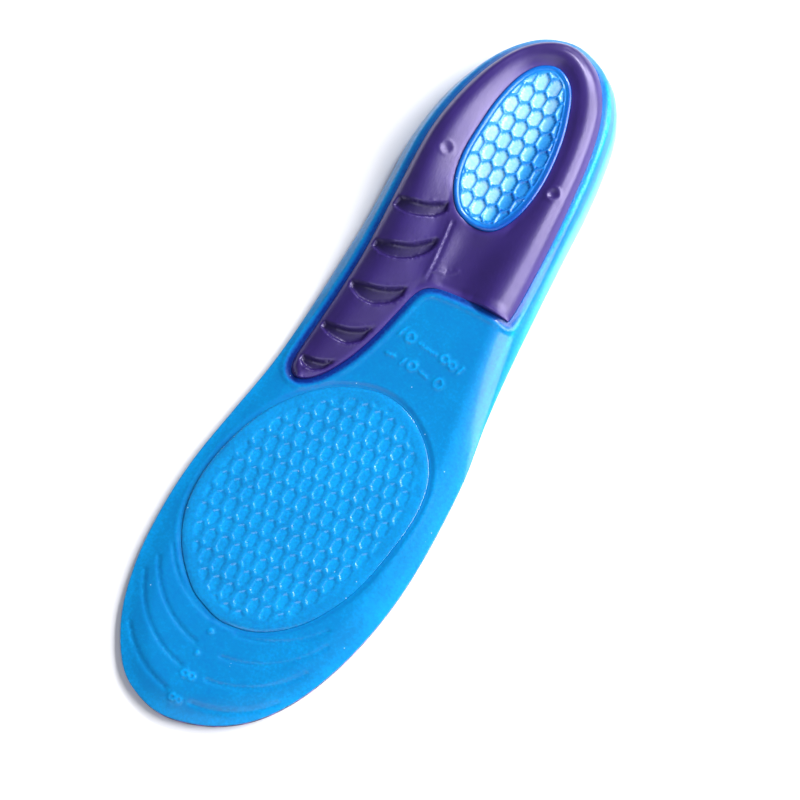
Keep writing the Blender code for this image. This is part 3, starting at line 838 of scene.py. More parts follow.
@dataclass(frozen=True)
class TricotKnit:
    """Brushed tricot knit of violet yarn: matt, ribbed by its wales, fuzzy at grazing light.

    The two lengths are of one radian of a wave, so the ribs come out 2 pi times as wide: about
    5.7 mm from wale to wale and 4.4 mm from course to course, far coarser than a real knit.
    """

    name: str = "tricot_knit"
    wale_radian_mm: float = 0.9
    course_radian_mm: float = 0.7

    def make(self) -> bpy.types.Material:
        """Builds the material.

        Returns:
            The material.
        """
        material, tree, shader, _ = blank(self.name)
        cloth = node(tree, "ShaderNodeUVMap", uv_map="cloth").outputs["UV"]
        wale = node(tree, "ShaderNodeTexWave", {
            "Vector": cloth, "Scale": 1000 / self.wale_radian_mm / 20,
            "Distortion": 0.6, "Detail": 1.0, "Detail Scale": 3.0,
        }, bands_direction="X")
        turned = node(tree, "ShaderNodeMapping", {"Vector": cloth, "Rotation": (0, 0, math.radians(34))})
        course = node(tree, "ShaderNodeTexWave", {
            "Vector": turned.outputs[0], "Scale": 1000 / self.course_radian_mm / 20, "Distortion": 1.2,
        }, bands_direction="Y")
        weave = calculated(tree, "MULTIPLY", wale.outputs["Fac"], course.outputs["Fac"])
        feed(tree, shader, {
            "Base Color": ramp(tree, weave, ((0.0, "#3D1B4E"), (0.45, "#6A3180"), (1.0, "#8E54A3"))),
            "Normal": bumped(tree, weave, 0.6, 0.0004),
            "Roughness": 0.92,
            "Sheen Weight": 0.35,
            "Sheen Roughness": 0.5,
        })
        return material


@dataclass(frozen=True)
class HotMeltFilm:
    """Hot-melt bonding film: milky, faintly streaked where it was rolled on."""

    name: str = "hot_melt_film"

    def make(self) -> bpy.types.Material:
        """Builds the material.

        Returns:
            The material.
        """
        material, tree, shader, place = blank(self.name)
        drawn = node(tree, "ShaderNodeMapping", {"Vector": place, "Scale": (1.0, 0.12, 1.0)})
        streak = noise(tree, drawn.outputs[0], 420.0, 4.0)
        feed(tree, shader, {
            "Base Color": ramp(tree, streak, ((0.3, "#8FA9C4"), (0.7, "#B9CBDD"))),
            "Roughness": 0.45,
        })
        return material


@dataclass(frozen=True)
class PaintedSweep:
    """Matt white paint of the studio sweep."""

    name: str = "painted_sweep"
    colour: str = "#F4F4F8"

    def make(self) -> bpy.types.Material:
        """Builds the material.

        Returns:
            The material.
        """
        material, tree, shader, place = blank(self.name)
        cloud = noise(tree, place, 3.0, 1.0)
        feed(tree, shader, {
            "Base Color": ramp(tree, cloud, ((0.3, self.colour), (0.7, "#F7F7FA"))),
            "Roughness": 0.95,
            "Specular IOR Level": 0.1,
        })
        return material


# ---- pieces -----------------------------------------------------------------------------------------
@dataclass
class Honeycomb:
    """A staggered field of hexagonal pockets, their points along the insole."""

    across: float
    along: float
    rib: float
    depth: float
    wall: float
    middle: tuple[float, float]
    count: int = 26

    def centres(self) -> Array:
        """Pocket centres over a wide field, every other row shifted by half a pocket.

        Returns:
            The centres (across, station).
        """
        span = np.arange(-self.count, self.count + 1)
        i, j = np.meshgrid(span, span)
        x = self.middle[0] + (i + (j % 2) / 2) * self.across
        y = self.middle[1] + j * self.along
        return np.stack([x.ravel(), y.ravel()], 1)

    def corners(self, shrink: float) -> Array:
        """The hexagon's corners, its sides moved in by `shrink` millimetres.

        Args:
            shrink: how far the sides move in.

        Returns:
            Six corners round the middle.
        """
        half = self.across / 2 - shrink
        tip = self.along * 2 / 3 - shrink * 1.17
        side = tip / 2
        return np.array(((half, -side), (half, side), (0, tip), (-half, side), (-half, -side), (0, -tip)))

    def points(self, loop: PlanLoop, clearance: float) -> list[Array]:
        """Points at each pocket's middle and along its rim, wall and floor, clear of the loop.

        Args:
            loop: the pad's outline.
            clearance: least distance inside it.

        Returns:
            A family of points for each ring, the middles first.
        """
        centres = self.centres()
        centres = centres[loop.inset(centres) > -self.across]
        rings = [np.zeros((1, 2))]
        for shrink, per_side in ((0.0, 5), (self.rib / 2, 5), (self.rib / 2 + self.wall * 0.35, 5),
                                 (self.rib / 2 + self.wall * 0.7, 5), (self.rib / 2 + self.wall, 4),
                                 (self.rib / 2 + self.wall + 0.7, 2)):
            ring = self.corners(shrink)
            t = (np.arange(per_side) / per_side)[None, :, None]
            rings.append((ring[:, None] * (1 - t) + np.roll(ring, -1, 0)[:, None] * t).reshape(-1, 2))
        families = [(centres[:, None] + ring).reshape(-1, 2) for ring in rings]
        families = [points[loop.inset(points) > clearance] for points in families]
        _, first = np.unique(np.round(families[1], 3), axis=0, return_index=True)
        families[1] = families[1][first]
        return families

    def sunk(self, plan: Array) -> Array:
        """Share of the full depth at each point: 0 on the ribs, 1 on a pocket's floor.

        The distance inside the nearest hexagon is the least of its distances from the upright
        sides and from the slanting ones; it becomes a depth over the width of the wall.

        Args:
            plan: points (across, station) in millimetres.

        Returns:
            A share from 0 to 1 for each point.
        """
        best = np.full(len(plan), -1e9)
        row = np.round((plan[:, 1] - self.middle[1]) / self.along)
        for step in (-1, 0, 1):
            j = row + step
            shift = (j % 2) / 2
            i = np.round((plan[:, 0] - self.middle[0]) / self.across - shift)
            x = np.abs(plan[:, 0] - self.middle[0] - (i + shift) * self.across)
            y = np.abs(plan[:, 1] - self.middle[1] - j * self.along)
            tip, half = self.along * 2 / 3, self.across / 2
            slant = (tip - y - x / half * tip / 2) / math.hypot(1, tip / 2 / half)
            best = np.maximum(best, np.minimum(half - x, slant))
        return smoothstep(best, self.rib / 2, self.rib / 2 + self.wall)


@dataclass
class GelBody:
    """The blue gel body: rim, sloping margin, lip round the insert, grooves and toe trim lines."""

    finish: CastGel = field(default_factory=CastGel)
    low: float = 1.54
    shoulder: float = 2.2
    spacing: float = 0.6
    lip_at: float = 2.7
    lip_rise: float = 0.34
    lip_fall: float = 0.5
    groove: float = 1.25
    groove_depth: float = 0.35
    trim_first: float = 6.0
    trim_step: float = 8.5
    trim_depth: float = 0.34
    trim_ends: dict[int, tuple[float, ...]] = field(
        default_factory=lambda: {-1: (50.0, 66.0, 61.0, 56.0), 1: (54.0, 62.0, 66.0, 58.0)}
    )

    def trim_lines(self) -> list[Array]:
        """Arcs of the toe outline, one shoe size apart, each broken in the middle.

        Returns:
            The points of each half arc.
        """
        lines = []
        for side, ends in self.trim_ends.items():
            for order, end in enumerate(ends):
                bearing = np.radians(np.linspace(8.0, end, 40))
                x = -1.2 + side * 33.5 * np.sin(bearing)
                y = self.trim_first + self.trim_step * order + 34.0 * (1 - np.cos(bearing))
                lines.append(np.stack([x, y], 1))
        return lines

    def marks(self) -> list[Array]:
        """Generic raised strokes and rings where a mould carries its size marks.

        Returns:
            The points of each stroke or ring.
        """
        turn = np.linspace(0, 2 * math.pi, 14)
        ring = np.stack([np.cos(turn), np.sin(turn)], 1)
        lines = []
        for x, y, r in ((-2.6, 5.0, 0.9), (-0.4, 5.2, 0.8), (-3.2, 13.2, 1.0), (-0.9, 13.4, 1.0),
                        (-3.5, 20.6, 0.5), (-3.6, 28.6, 0.6), (-1.2, 142.2, 1.5), (11.9, 141.6, 1.2),
                        (15.0, 141.0, 1.2), (4.0, 134.6, 1.4), (14.2, 133.8, 1.5)):
            lines.append(ring * r + (x, y))
        for x0, y0, x1, y1 in ((-5.0, 141.0, -4.0, 144.0), (2.6, 141.9, 8.8, 141.5),
                               (-5.4, 134.2, -2.4, 134.6), (0.4, 133.4, 1.2, 135.6),
                               (7.0, 134.2, 10.0, 133.8), (17.6, 139.6, 18.6, 142.0)):
            lines.append(np.linspace((x0, y0), (x1, y1), 6))
        return lines

    def detail(self, plan: Array) -> Array:
        """What the mould adds to the plain thickness, in millimetres.

        A lip that rises to its crest a little outside the insert and falls to its edge, the outer
        wall of the groove round the forefoot pad, the trim grooves and the raised marks.

        Args:
            plan: points (across, station) in millimetres.

        Returns:
            A thickness to add at each point.
        """
        outside = -INSERT.inset(plan)
        lip = self.lip_rise * hill(outside, self.lip_at, 0.75)
        lip -= self.lip_fall * (1 - smoothstep(outside, 0.0, self.lip_at))
        ball = -BALL.inset(plan)
        lip += 0.1 * hill(ball, 0.7, 0.5) - self.groove_depth * (1 - smoothstep(ball, -0.9, 0.9))
        for line in self.trim_lines():
            lip -= self.trim_depth * along_line(plan, line, 0.6)
        for line in self.marks():
            lip += 0.34 * along_line(plan, line, 0.3)
        return lip

    def build(self) -> bpy.types.Object:
        """Rim band carried round the outline, joined to the triangulated top and underside.

        Returns:
            The new piece.
        """
        rim = walk(smooth_curve(PlanCurve.OUTLINE.value, 24, True), 0.8, True)
        inwards = -outward_normals(rim)
        station = rim[:, 1]
        shoulder = rim + inwards * self.shoulder
        hole = BALL.moved(-self.groove)
        rows = [shoulder + inwards * 0.4] + [OUTLINE.moved(-depth) for depth in (3.0, 3.4, 3.8, 4.3)]
        rows += [INSERT.moved(away) for away in (0.3, 0.65, 1.0, 1.4, 1.8, 2.2, 2.6, 3.0, 3.5)]
        rows += [BALL.moved(away) for away in (-0.95, -0.6, -0.3, 0.0, 0.3, 0.6, 1.0)]
        for line in [*self.trim_lines(), *self.marks()]:
            rows += [line + beside(line) * away for away in (0.0, 0.35, -0.35, 0.7, -0.7)]
        rows = [row[self.free(row, 0.2)] for row in rows]
        fill = lattice([OUTLINE, INSERT, BALL], self.spacing, 0.3)
        points = gathered([*rows, fill[self.free(fill, 0.3)]], 0.27)
        plan, faces = plan_triangles([shoulder, INSERT.points, hole], points)
        extra = self.detail(plan)
        top = LAST.height(plan, lambda turn, y: LAST.gel_lift(turn, y) + extra)
        bottom = LAST.height(plan, lambda turn, y: np.full(len(turn), self.low))
        count = len(plan)
        body = np.vstack([np.column_stack([plan, top]), np.column_stack([plan, bottom])])
        open_edges = border_edges(faces)
        on_rim = distance_to(plan[open_edges].mean(1), shoulder, True) < 1e-3
        walls = open_edges[~on_rim]
        quads = np.stack([walls[:, 1], walls[:, 0], walls[:, 0] + count, walls[:, 1] + count], 1)
        band = self.rim_band(rim, inwards, shoulder, station)
        grid = (2 * count + np.arange(band.shape[0] * len(rim))).reshape(band.shape[0], len(rim))
        ahead = np.roll(grid, -1, 1)
        strips = np.stack([grid[:-1], grid[1:], ahead[1:], ahead[:-1]], 2).reshape(-1, 4)
        points = np.vstack([body, band.reshape(-1, 3)])
        both = np.vstack([faces, faces[:, ::-1] + count])
        return piece_of("gel_body_skin", points, [both, np.vstack([quads, strips])], 3e-6)

    def free(self, plan: Array, clearance: float) -> Array:
        """Which points lie between the shoulder, the insert and the forefoot groove.

        Args:
            plan: points (across, station) in millimetres.
            clearance: least distance from each of the three.

        Returns:
            True for each point that does.
        """
        within = OUTLINE.inset(plan) > self.shoulder + clearance
        within &= INSERT.inset(plan) < -clearance
        return within & (BALL.inset(plan) < self.groove - clearance)

    def rim_band(self, rim: Array, inwards: Array, shoulder: Array, station: Array) -> Array:
        """Rows from the shoulder down the wall, round the rim and back under, as (row, point, 3).

        Args:
            rim: outline points.
            inwards: unit directions from them towards the middle.
            shoulder: points where the band joins the top and the underside.
            station: distance of each from the toe tip.

        Returns:
            An array of rows of points (across, station, height).
        """
        count = len(rim)
        extra = self.detail(shoulder)
        start = self.turn_at(station, lambda turn: LAST.gel_lift(turn, station) + extra)
        rows = []
        for share in (1.0, 0.85, 0.7, 0.55, 0.4, 0.27, 0.16, 0.07, 0.0):
            turn = start * share
            lift = LAST.gel_lift(turn, station)
            flat = LAST.ring(rim, inwards, turn, lift)[:, :2]
            rows.append(LAST.ring(rim, inwards, turn, lift + self.detail(flat)))
        top = LAST.height(shoulder, lambda t, y: LAST.gel_lift(t, y) + extra)
        rows[0] = np.column_stack([shoulder, top])
        lift = LAST.gel_lift(np.zeros(count), station) + self.detail(rim)
        for share, bulge in ((0.12, 0.12), (0.35, 0.22), (0.65, 0.22), (0.88, 0.12), (1.0, 0.0)):
            at = LAST.ring(rim, inwards, np.zeros(count), lift + (self.low - lift) * share)
            lean = LAST.cup(station) / LAST.cup_depth
            at[:, :2] -= inwards * (bulge * (1 - lean))[:, None]
            rows.append(at)
        low = np.full(count, self.low)
        end = self.turn_at(station, lambda turn: low)
        for share in (0.35, 0.7, 1.0):
            rows.append(LAST.ring(rim, inwards, end * share, low))
        rows[-1] = np.column_stack([shoulder, LAST.height(shoulder, lambda t, y: low)])
        made = np.stack(rows)
        made[..., 2] = np.maximum(made[..., 2], 0.02)
        return made

    def turn_at(self, station: Array, lift: Callable[[Array], Array]) -> Array:
        """The angle round the wall at which a surface's depth equals the shoulder's, by halving.

        Args:
            station: distance of each point from the toe tip.
            lift: thickness outside the foot side, from the turn.

        Returns:
            An angle for each point, 0 at the rim.
        """
        low, high = np.zeros(len(station)), np.full(len(station), math.pi / 2)
        for _ in range(RIM_HALVINGS):
            turn = (low + high) / 2
            lean = LAST.cup(station) / LAST.cup_depth * (math.pi / 2 - turn)
            reached = LAST.rim_inset(station) + LAST.wall_run * (1 - np.cos(turn))
            reached = reached - lift(turn) * np.sin(lean)
            under = reached < self.shoulder
            low, high = np.where(under, turn, low), np.where(under, high, turn)
        return high

    def dress(self, thing: bpy.types.Object) -> None:
        """Sets the gel's tone at each point, painted highlights and shade among it, and gives the finish.

        Args:
            thing: the piece.
        """
        plan, height = plan_of(thing)
        depth = OUTLINE.inset(plan)
        outside = -INSERT.inset(plan)
        ball = -BALL.inset(plan)
        cup = LAST.cup(plan[:, 1]) / LAST.cup_depth
        lateral = smoothstep(plan[:, 0], 5, 18)
        # Painted highlight: the margin on the little-toe side is lighter, where it slopes towards the key
        # light.
        tone = 0.48 + 0.04 * (1 - smoothstep(depth, 7.4, 9.2)) * lateral * smoothstep(plan[:, 1], 35, 70)
        # Lighter over the last 5 mm to the outline, where thin gel lets light through, plus a painted
        # reflection of the backdrop.
        tone += 0.08 * (1 - smoothstep(depth, 1.0, 5.0))
        # Painted highlight lines and a painted shade line along the heel rim, strongest on the little-toe
        # side.
        rim_highlight_and_shade_lines = 0.42 * hill(depth, 0.2, 0.7) - 0.2 * hill(depth, 1.8, 0.6) + 0.5 * hill(depth, 3.4, 0.5)
        tone += (0.35 + 0.65 * lateral) * cup**1.6 * rim_highlight_and_shade_lines
        tone -= (0.6 - 0.35 * cup) * (1 - smoothstep(outside, 1.0, self.lip_at + 0.1))
        # Darker along the groove round the forefoot pad: thinner gel there, and painted shade in the
        # groove.
        tone -= 0.07 * hill(ball, -0.3, 0.6)
        tone += 0.03 * smoothstep(plan[:, 1], 150, 60) * lateral
        # Painted glints on the raised marks.
        for line in self.marks():
            tone += 0.14 * along_line(plan, line, 0.35) * (height > self.low + 0.5)
        set_tone(thing, "tone", np.clip(tone, 0, 1))
        thing.data.materials.append(self.finish.make())


@dataclass
class ArchInsert:
    """The violet insert: a rounded horseshoe ridge, a valley at the waist and a ribbed tongue."""

    finish: MouldedElastomer = field(default_factory=MouldedElastomer)
    spacing: float = 0.55
    floor_lift: float = 2.7
    inner_lift: float = 4.7
    edge_drop: float = 0.32
    pocket_depth: float = 1.5
    dimples: tuple[tuple[float, float, float], ...] = ((13.7, 204.8, 0.6), (-23.7, 200.8, 0.3))

    def pockets(self) -> list[tuple[Array, Array]]:
        """The smooth heel-side and toe-side arcs of each crescent."""
        return [(smooth_curve(a, 8, False), smooth_curve(b, 8, False)) for a, b in CRESCENTS]

    def ridge(self, plan: Array) -> Array:
        """Height of the plain ridge and valley before any pocket is sunk.

        With s the share of the way from the outer edge to the inner line and c the crest's
        place, the ground climbs from the gel to the window's lip as 1 - (1 - s)^n, and the hump
        over it is a roof 1 - |s - c| / run with its ridge rounded. The waist carries a trough
        that falls away from the fold.

        Args:
            plan: points (across, station) in millimetres.

        Returns:
            A height for each point, in millimetres.
        """
        ridge_line = smooth_curve(PlanCurve.RIDGE_INNER.value, 6, False)
        outer = distance_to(plan, smooth_curve(PlanCurve.INSERT_OUTER.value, 6, False), False)
        valley_end = len(PlanCurve.RIDGE_INNER.value) - 5
        valley = smooth_curve(PlanCurve.RIDGE_INNER.value[:valley_end], 6, False)
        inner = np.where(inside(plan, valley), 0.0, distance_to(plan, ridge_line, False))
        inner = np.minimum(inner, np.maximum(-WINDOW.inset(plan) - 0.3, 0.0))
        share = outer / np.maximum(outer + inner, 1e-6)
        x, station = plan.T
        lateral = smoothstep(x, -12.0, 8.0)
        crown = smoothstep(station, 236.0, 250.0)
        crest_at = 0.36 + 0.22 * lateral + 0.06 * crown * (1 - lateral)
        run = np.where(share < crest_at, crest_at, 1 - crest_at)
        away = np.abs(share - crest_at) / run
        hump = 1 - (np.sqrt(away**2 + 0.09) - 0.3) / (math.sqrt(1.09) - 0.3)
        crest = 0.9 + 1.7 * smoothstep(station, 112, 165) - 1.3 * lateral * smoothstep(station, 150, 185)
        climb = 1 - (1 - np.clip(share, 0, 1)) ** (4.0 - 2.4 * lateral)
        flush = LAST.height(plan, LAST.gel_lift) - self.edge_drop
        ground = flush + (LAST.cup(station) + self.inner_lift - flush) * climb
        across = np.clip((x + 8.5) / 18.0, 0, 1)
        trough = 1.1 - 2.3 * smoothstep(across, 0.0, 0.42) + 1.2 * smoothstep(across, 0.72, 1.0)
        trough *= smoothstep(station, 187.0, 176.0) * smoothstep(station, 158.5, 164.0)
        return ground + crest * hump + np.where(inner < 1e-9, trough, 0.0)

    def scoops(self, plan: Array) -> tuple[Array, Array]:
        """How far each point lies in a crescent, and that share weighted for painted shade, most on the
        heel side.

        Args:
            plan: points (across, station) in millimetres.

        Returns:
            The depth shares and the painted-shade shares, each from about 0 to 1.
        """
        deep, shade = np.zeros(len(plan)), np.zeros(len(plan))
        for heel_side, toe_side in self.pockets():
            loop = np.vstack([heel_side, toe_side[::-1]])
            near = (np.abs(plan - loop.mean(0)) < 14).all(1)
            spot = plan[near]
            within = distance_to(spot, loop, True) * np.where(inside(spot, loop), 1.0, -1.0)
            back, front = distance_to(spot, heel_side, False), distance_to(spot, toe_side, False)
            share = back / np.maximum(back + front, 1e-6)
            step = smoothstep(within, -0.25, 0.95)
            deep[near] += step - 0.1 * hill(front, 0.0, 0.55) * smoothstep(-within, -0.2, 0.3)
            # Painted shade: each floor darkens most by its heel-side wall, where that wall's shadow
            # falls.
            shade[near] += step * (1 - 0.5 * share)
        return deep, shade

    def sink(self, plan: Array) -> Array:
        """Depth of the crescents, dimples and fold lines at each point, in millimetres.

        Args:
            plan: points (across, station) in millimetres.

        Returns:
            A depth for each point.
        """
        down = self.pocket_depth * self.scoops(plan)[0]
        for x, y, deep in self.dimples:
            away = np.hypot(plan[:, 0] - x, plan[:, 1] - y)
            down += deep * (1 - smoothstep(away, 0.3, 2.1)) - deep * 0.3 * hill(away, 2.4, 0.5)
        fold = smooth_curve(PlanCurve.FOLD.value, 8, False)
        down -= 0.25 * along_line(plan, fold, 0.5)
        down += 0.3 * along_line(plan, fold + (1.0, 0.1), 0.45)
        moon = smooth_curve(PlanCurve.HALF_MOON.value, 8, False)
        down -= 0.16 * along_line(plan, moon, 0.35)
        return down

    def build(self) -> bpy.types.Object:
        """Triangulates the plan with rows along every arc, then lifts it.

        Returns:
            The new piece.
        """
        rows = []
        for arcs in self.pockets():
            for arc in arcs:
                line = walk(arc, 0.45, False)
                rows += [line + beside(line) * away for away in (-0.7, -0.4, -0.15, 0.1, 0.35, 0.7)]
        edges = [INSERT.moved(-away) for away in (0.25, 0.55, 0.9, 1.3)]
        edges += [WINDOW.moved(away) for away in (0.25, 0.55, 0.9, 1.3)]
        for name in (PlanCurve.FOLD, PlanCurve.HALF_MOON):
            line = walk(smooth_curve(name.value, 8, False), 0.4, False)
            fine = (-1.3, -0.9, -0.6, -0.3, 0.0, 0.3, 0.6, 0.9, 1.3)
            rows += [line + beside(line) * away for away in fine]
        families = [*edges, *rows, lattice([INSERT, WINDOW], self.spacing, 0.25)]
        families = [f[(INSERT.inset(f) > 0.15) & (WINDOW.inset(f) < -0.15)] for f in families]
        plan, faces = plan_triangles([INSERT.points, WINDOW.points], gathered(families, 0.24))
        edge = np.minimum(INSERT.inset(plan), -WINDOW.inset(plan))
        top = self.ridge(plan)
        top += (relaxed(faces, top, 40, edge < 0.05) - top) * smoothstep(edge, 1.4, 4.0)
        top -= self.sink(plan) + 0.14 * (1 - smoothstep(edge, 0.0, 0.6))
        bottom = LAST.height(plan, lambda turn, y: np.full(len(turn), self.floor_lift))
        return slab("arch_heel_insert", plan, faces, top, bottom)

    def dress(self, thing: bpy.types.Object) -> None:
        """Paints shade into the pocket floors, lightens the insert's edges, and gives the finish.

        Args:
            thing: the piece.
        """
        plan, _ = plan_of(thing)
        edge = np.minimum(INSERT.inset(plan), -WINDOW.inset(plan))
        tone = 0.52 - 0.55 * self.scoops(plan)[1] + 0.12 * (1 - smoothstep(edge, 0.2, 2.4))
        set_tone(thing, "tone", np.clip(tone, 0, 1))
        thing.data.materials.append(self.finish.make())


@dataclass
class HeelPad:
    """The honeycomb heel pad: a raised lip, a shallow dish and hexagonal pockets."""

    finish: CastGel = field(
        default_factory=lambda: CastGel(
            name="cast_gel_heel",
            stops=(
                (0.0, "#0A4FB0"), (0.3, "#0F7CD2"), (0.55, "#42A8F0"),
                (0.8, "#8CCBFB"), (1.0, "#CDEBFF"),
            ),
            roughness=0.22, specular=0.5, coat=0.3, grain=0.2, grain_mm=0.8,
        )
    )
    lip_lift: float = 5.0
    dish: float = 1.5
    floor_lift: float = 2.7
    cells: Honeycomb = field(
        default_factory=lambda: Honeycomb(4.6, 6.0, 0.65, 0.5, 0.25, (-5.0, 213.6))
    )

    def surface(self, plan: Array) -> Array:
        """A rounded lip, a groove inside it, a dish that falls to the middle, and the pockets.

        Args:
            plan: points (across, station) in millimetres.

        Returns:
            A height for each point, in millimetres.
        """
        within = WINDOW.inset(plan)
        rise = 0.12 * hill(within, 0.8, 0.5) - 0.15 * (1 - smoothstep(within, 0.15, 0.6))
        rise -= 0.25 * hill(within, 1.9, 0.35)
        rise -= self.dish * smoothstep(within, 1.4, 9.0)
        rise -= self.cells.depth * self.cells.sunk(plan) * smoothstep(within, 2.3, 2.7)
        return LAST.cup(plan[:, 1]) + self.lip_lift + rise

    def build(self) -> bpy.types.Object:
        """Triangulates the plan with points along every pocket, then lifts it.

        Returns:
            The new piece.
        """
        rows = [WINDOW.moved(-away) for away in (0.35, 0.6, 0.9, 1.25, 1.6, 1.9, 2.15, 2.35, 2.6)]
        points = gathered([*rows, *self.cells.points(WINDOW, 2.45)], 0.1)
        plan, faces = plan_triangles([WINDOW.moved(-0.12)], points)
        bottom = LAST.height(plan, lambda turn, y: np.full(len(turn), self.floor_lift))
        return slab("honeycomb_heel_pad", plan, faces, self.surface(plan), bottom)

    def dress(self, thing: bpy.types.Object) -> None:
        """Painted reflection on pale floors, deeper blue lip, painted shade in groove and on walls,
        finish.

        Args:
            thing: the piece.
        """
        plan, _ = plan_of(thing)
        within = WINDOW.inset(plan)
        floor = self.cells.sunk(plan) * smoothstep(within, 2.3, 2.7)
        # Painted reflection of the key light makes the pocket floors pale; painted shade darkens the
        # groove inside the lip.
        tone = 0.4 + 0.42 * floor - 0.1 * hill(within, 1.9, 0.4)
        tone -= 0.3 * (1 - smoothstep(within, 0.5, 2.1))
        # Painted shade on the pocket walls.
        tone -= 0.35 * 4 * floor * (1 - floor)
        # Painted shade: the little-toe side of the pad is darker, its floors most, where they catch no
        # reflection.
        tone -= (0.12 + 0.3 * floor) * smoothstep(plan[:, 0], -3, 3)
        set_tone(thing, "tone", np.clip(tone, 0, 1))
        thing.data.materials.append(self.finish.make())


@dataclass
class BallPad:
    """The forefoot pad: a level gel pad inside its groove, with shallow hexagonal pockets."""

    finish: CastGel = field(
        default_factory=lambda: CastGel(
            name="cast_gel_forefoot", roughness=0.17, specular=0.6, coat=0.4
        )
    )
    groove: float = 1.25
    proud: float = 0.15
    floor: float = 2.9
    cells: Honeycomb = field(
        default_factory=lambda: Honeycomb(4.7, 6.0, 0.8, 0.29, 0.95, (-1.5, 78.1))
    )

    def surface(self, plan: Array) -> Array:
        """A rounded edge rising out of the groove, and pockets clear of it.

        Args:
            plan: points (across, station) in millimetres.

        Returns:
            A height for each point, in millimetres.
        """
        within = BALL.inset(plan) - self.groove
        rise = -0.32 * (1 - smoothstep(within, -0.5, 1.5))
        rise -= self.cells.depth * self.cells.sunk(plan) * smoothstep(within, 3.0, 4.6)
        return LAST.cup(plan[:, 1]) + LAST.forefoot + self.proud + rise

    def build(self) -> bpy.types.Object:
        """Triangulates the plan with points along every pocket, then lifts it.

        Returns:
            The new piece.
        """
        rows = [BALL.moved(-self.groove - away) for away in (0.2, 0.4, 0.6, 0.9, 1.3, 1.8, 2.4, 3.0)]
        points = gathered([*rows, *self.cells.points(BALL, self.groove + 3.3)], 0.16)
        plan, faces = plan_triangles([BALL.moved(-self.groove - 0.02)], points)
        bottom = np.full(len(plan), self.floor)
        return slab("honeycomb_ball_pad", plan, faces, self.surface(plan), bottom)

    def dress(self, thing: bpy.types.Object) -> None:
        """Slightly brighter pocket floors, a darker edge in the groove, partly painted shade, and the
        finish.

        Args:
            thing: the piece.
        """
        plan, _ = plan_of(thing)
        within = BALL.inset(plan) - self.groove
        floor = self.cells.sunk(plan) * smoothstep(within, 3.0, 4.6)
        # The edge where the pad dips into its groove is darker: painted shade, and thinner gel there.
        tone = 0.54 + 0.05 * floor - 0.07 * (1 - smoothstep(within, 0.0, 0.6))
        set_tone(thing, "tone", np.clip(tone, 0, 1))
        thing.data.materials.append(self.finish.make())


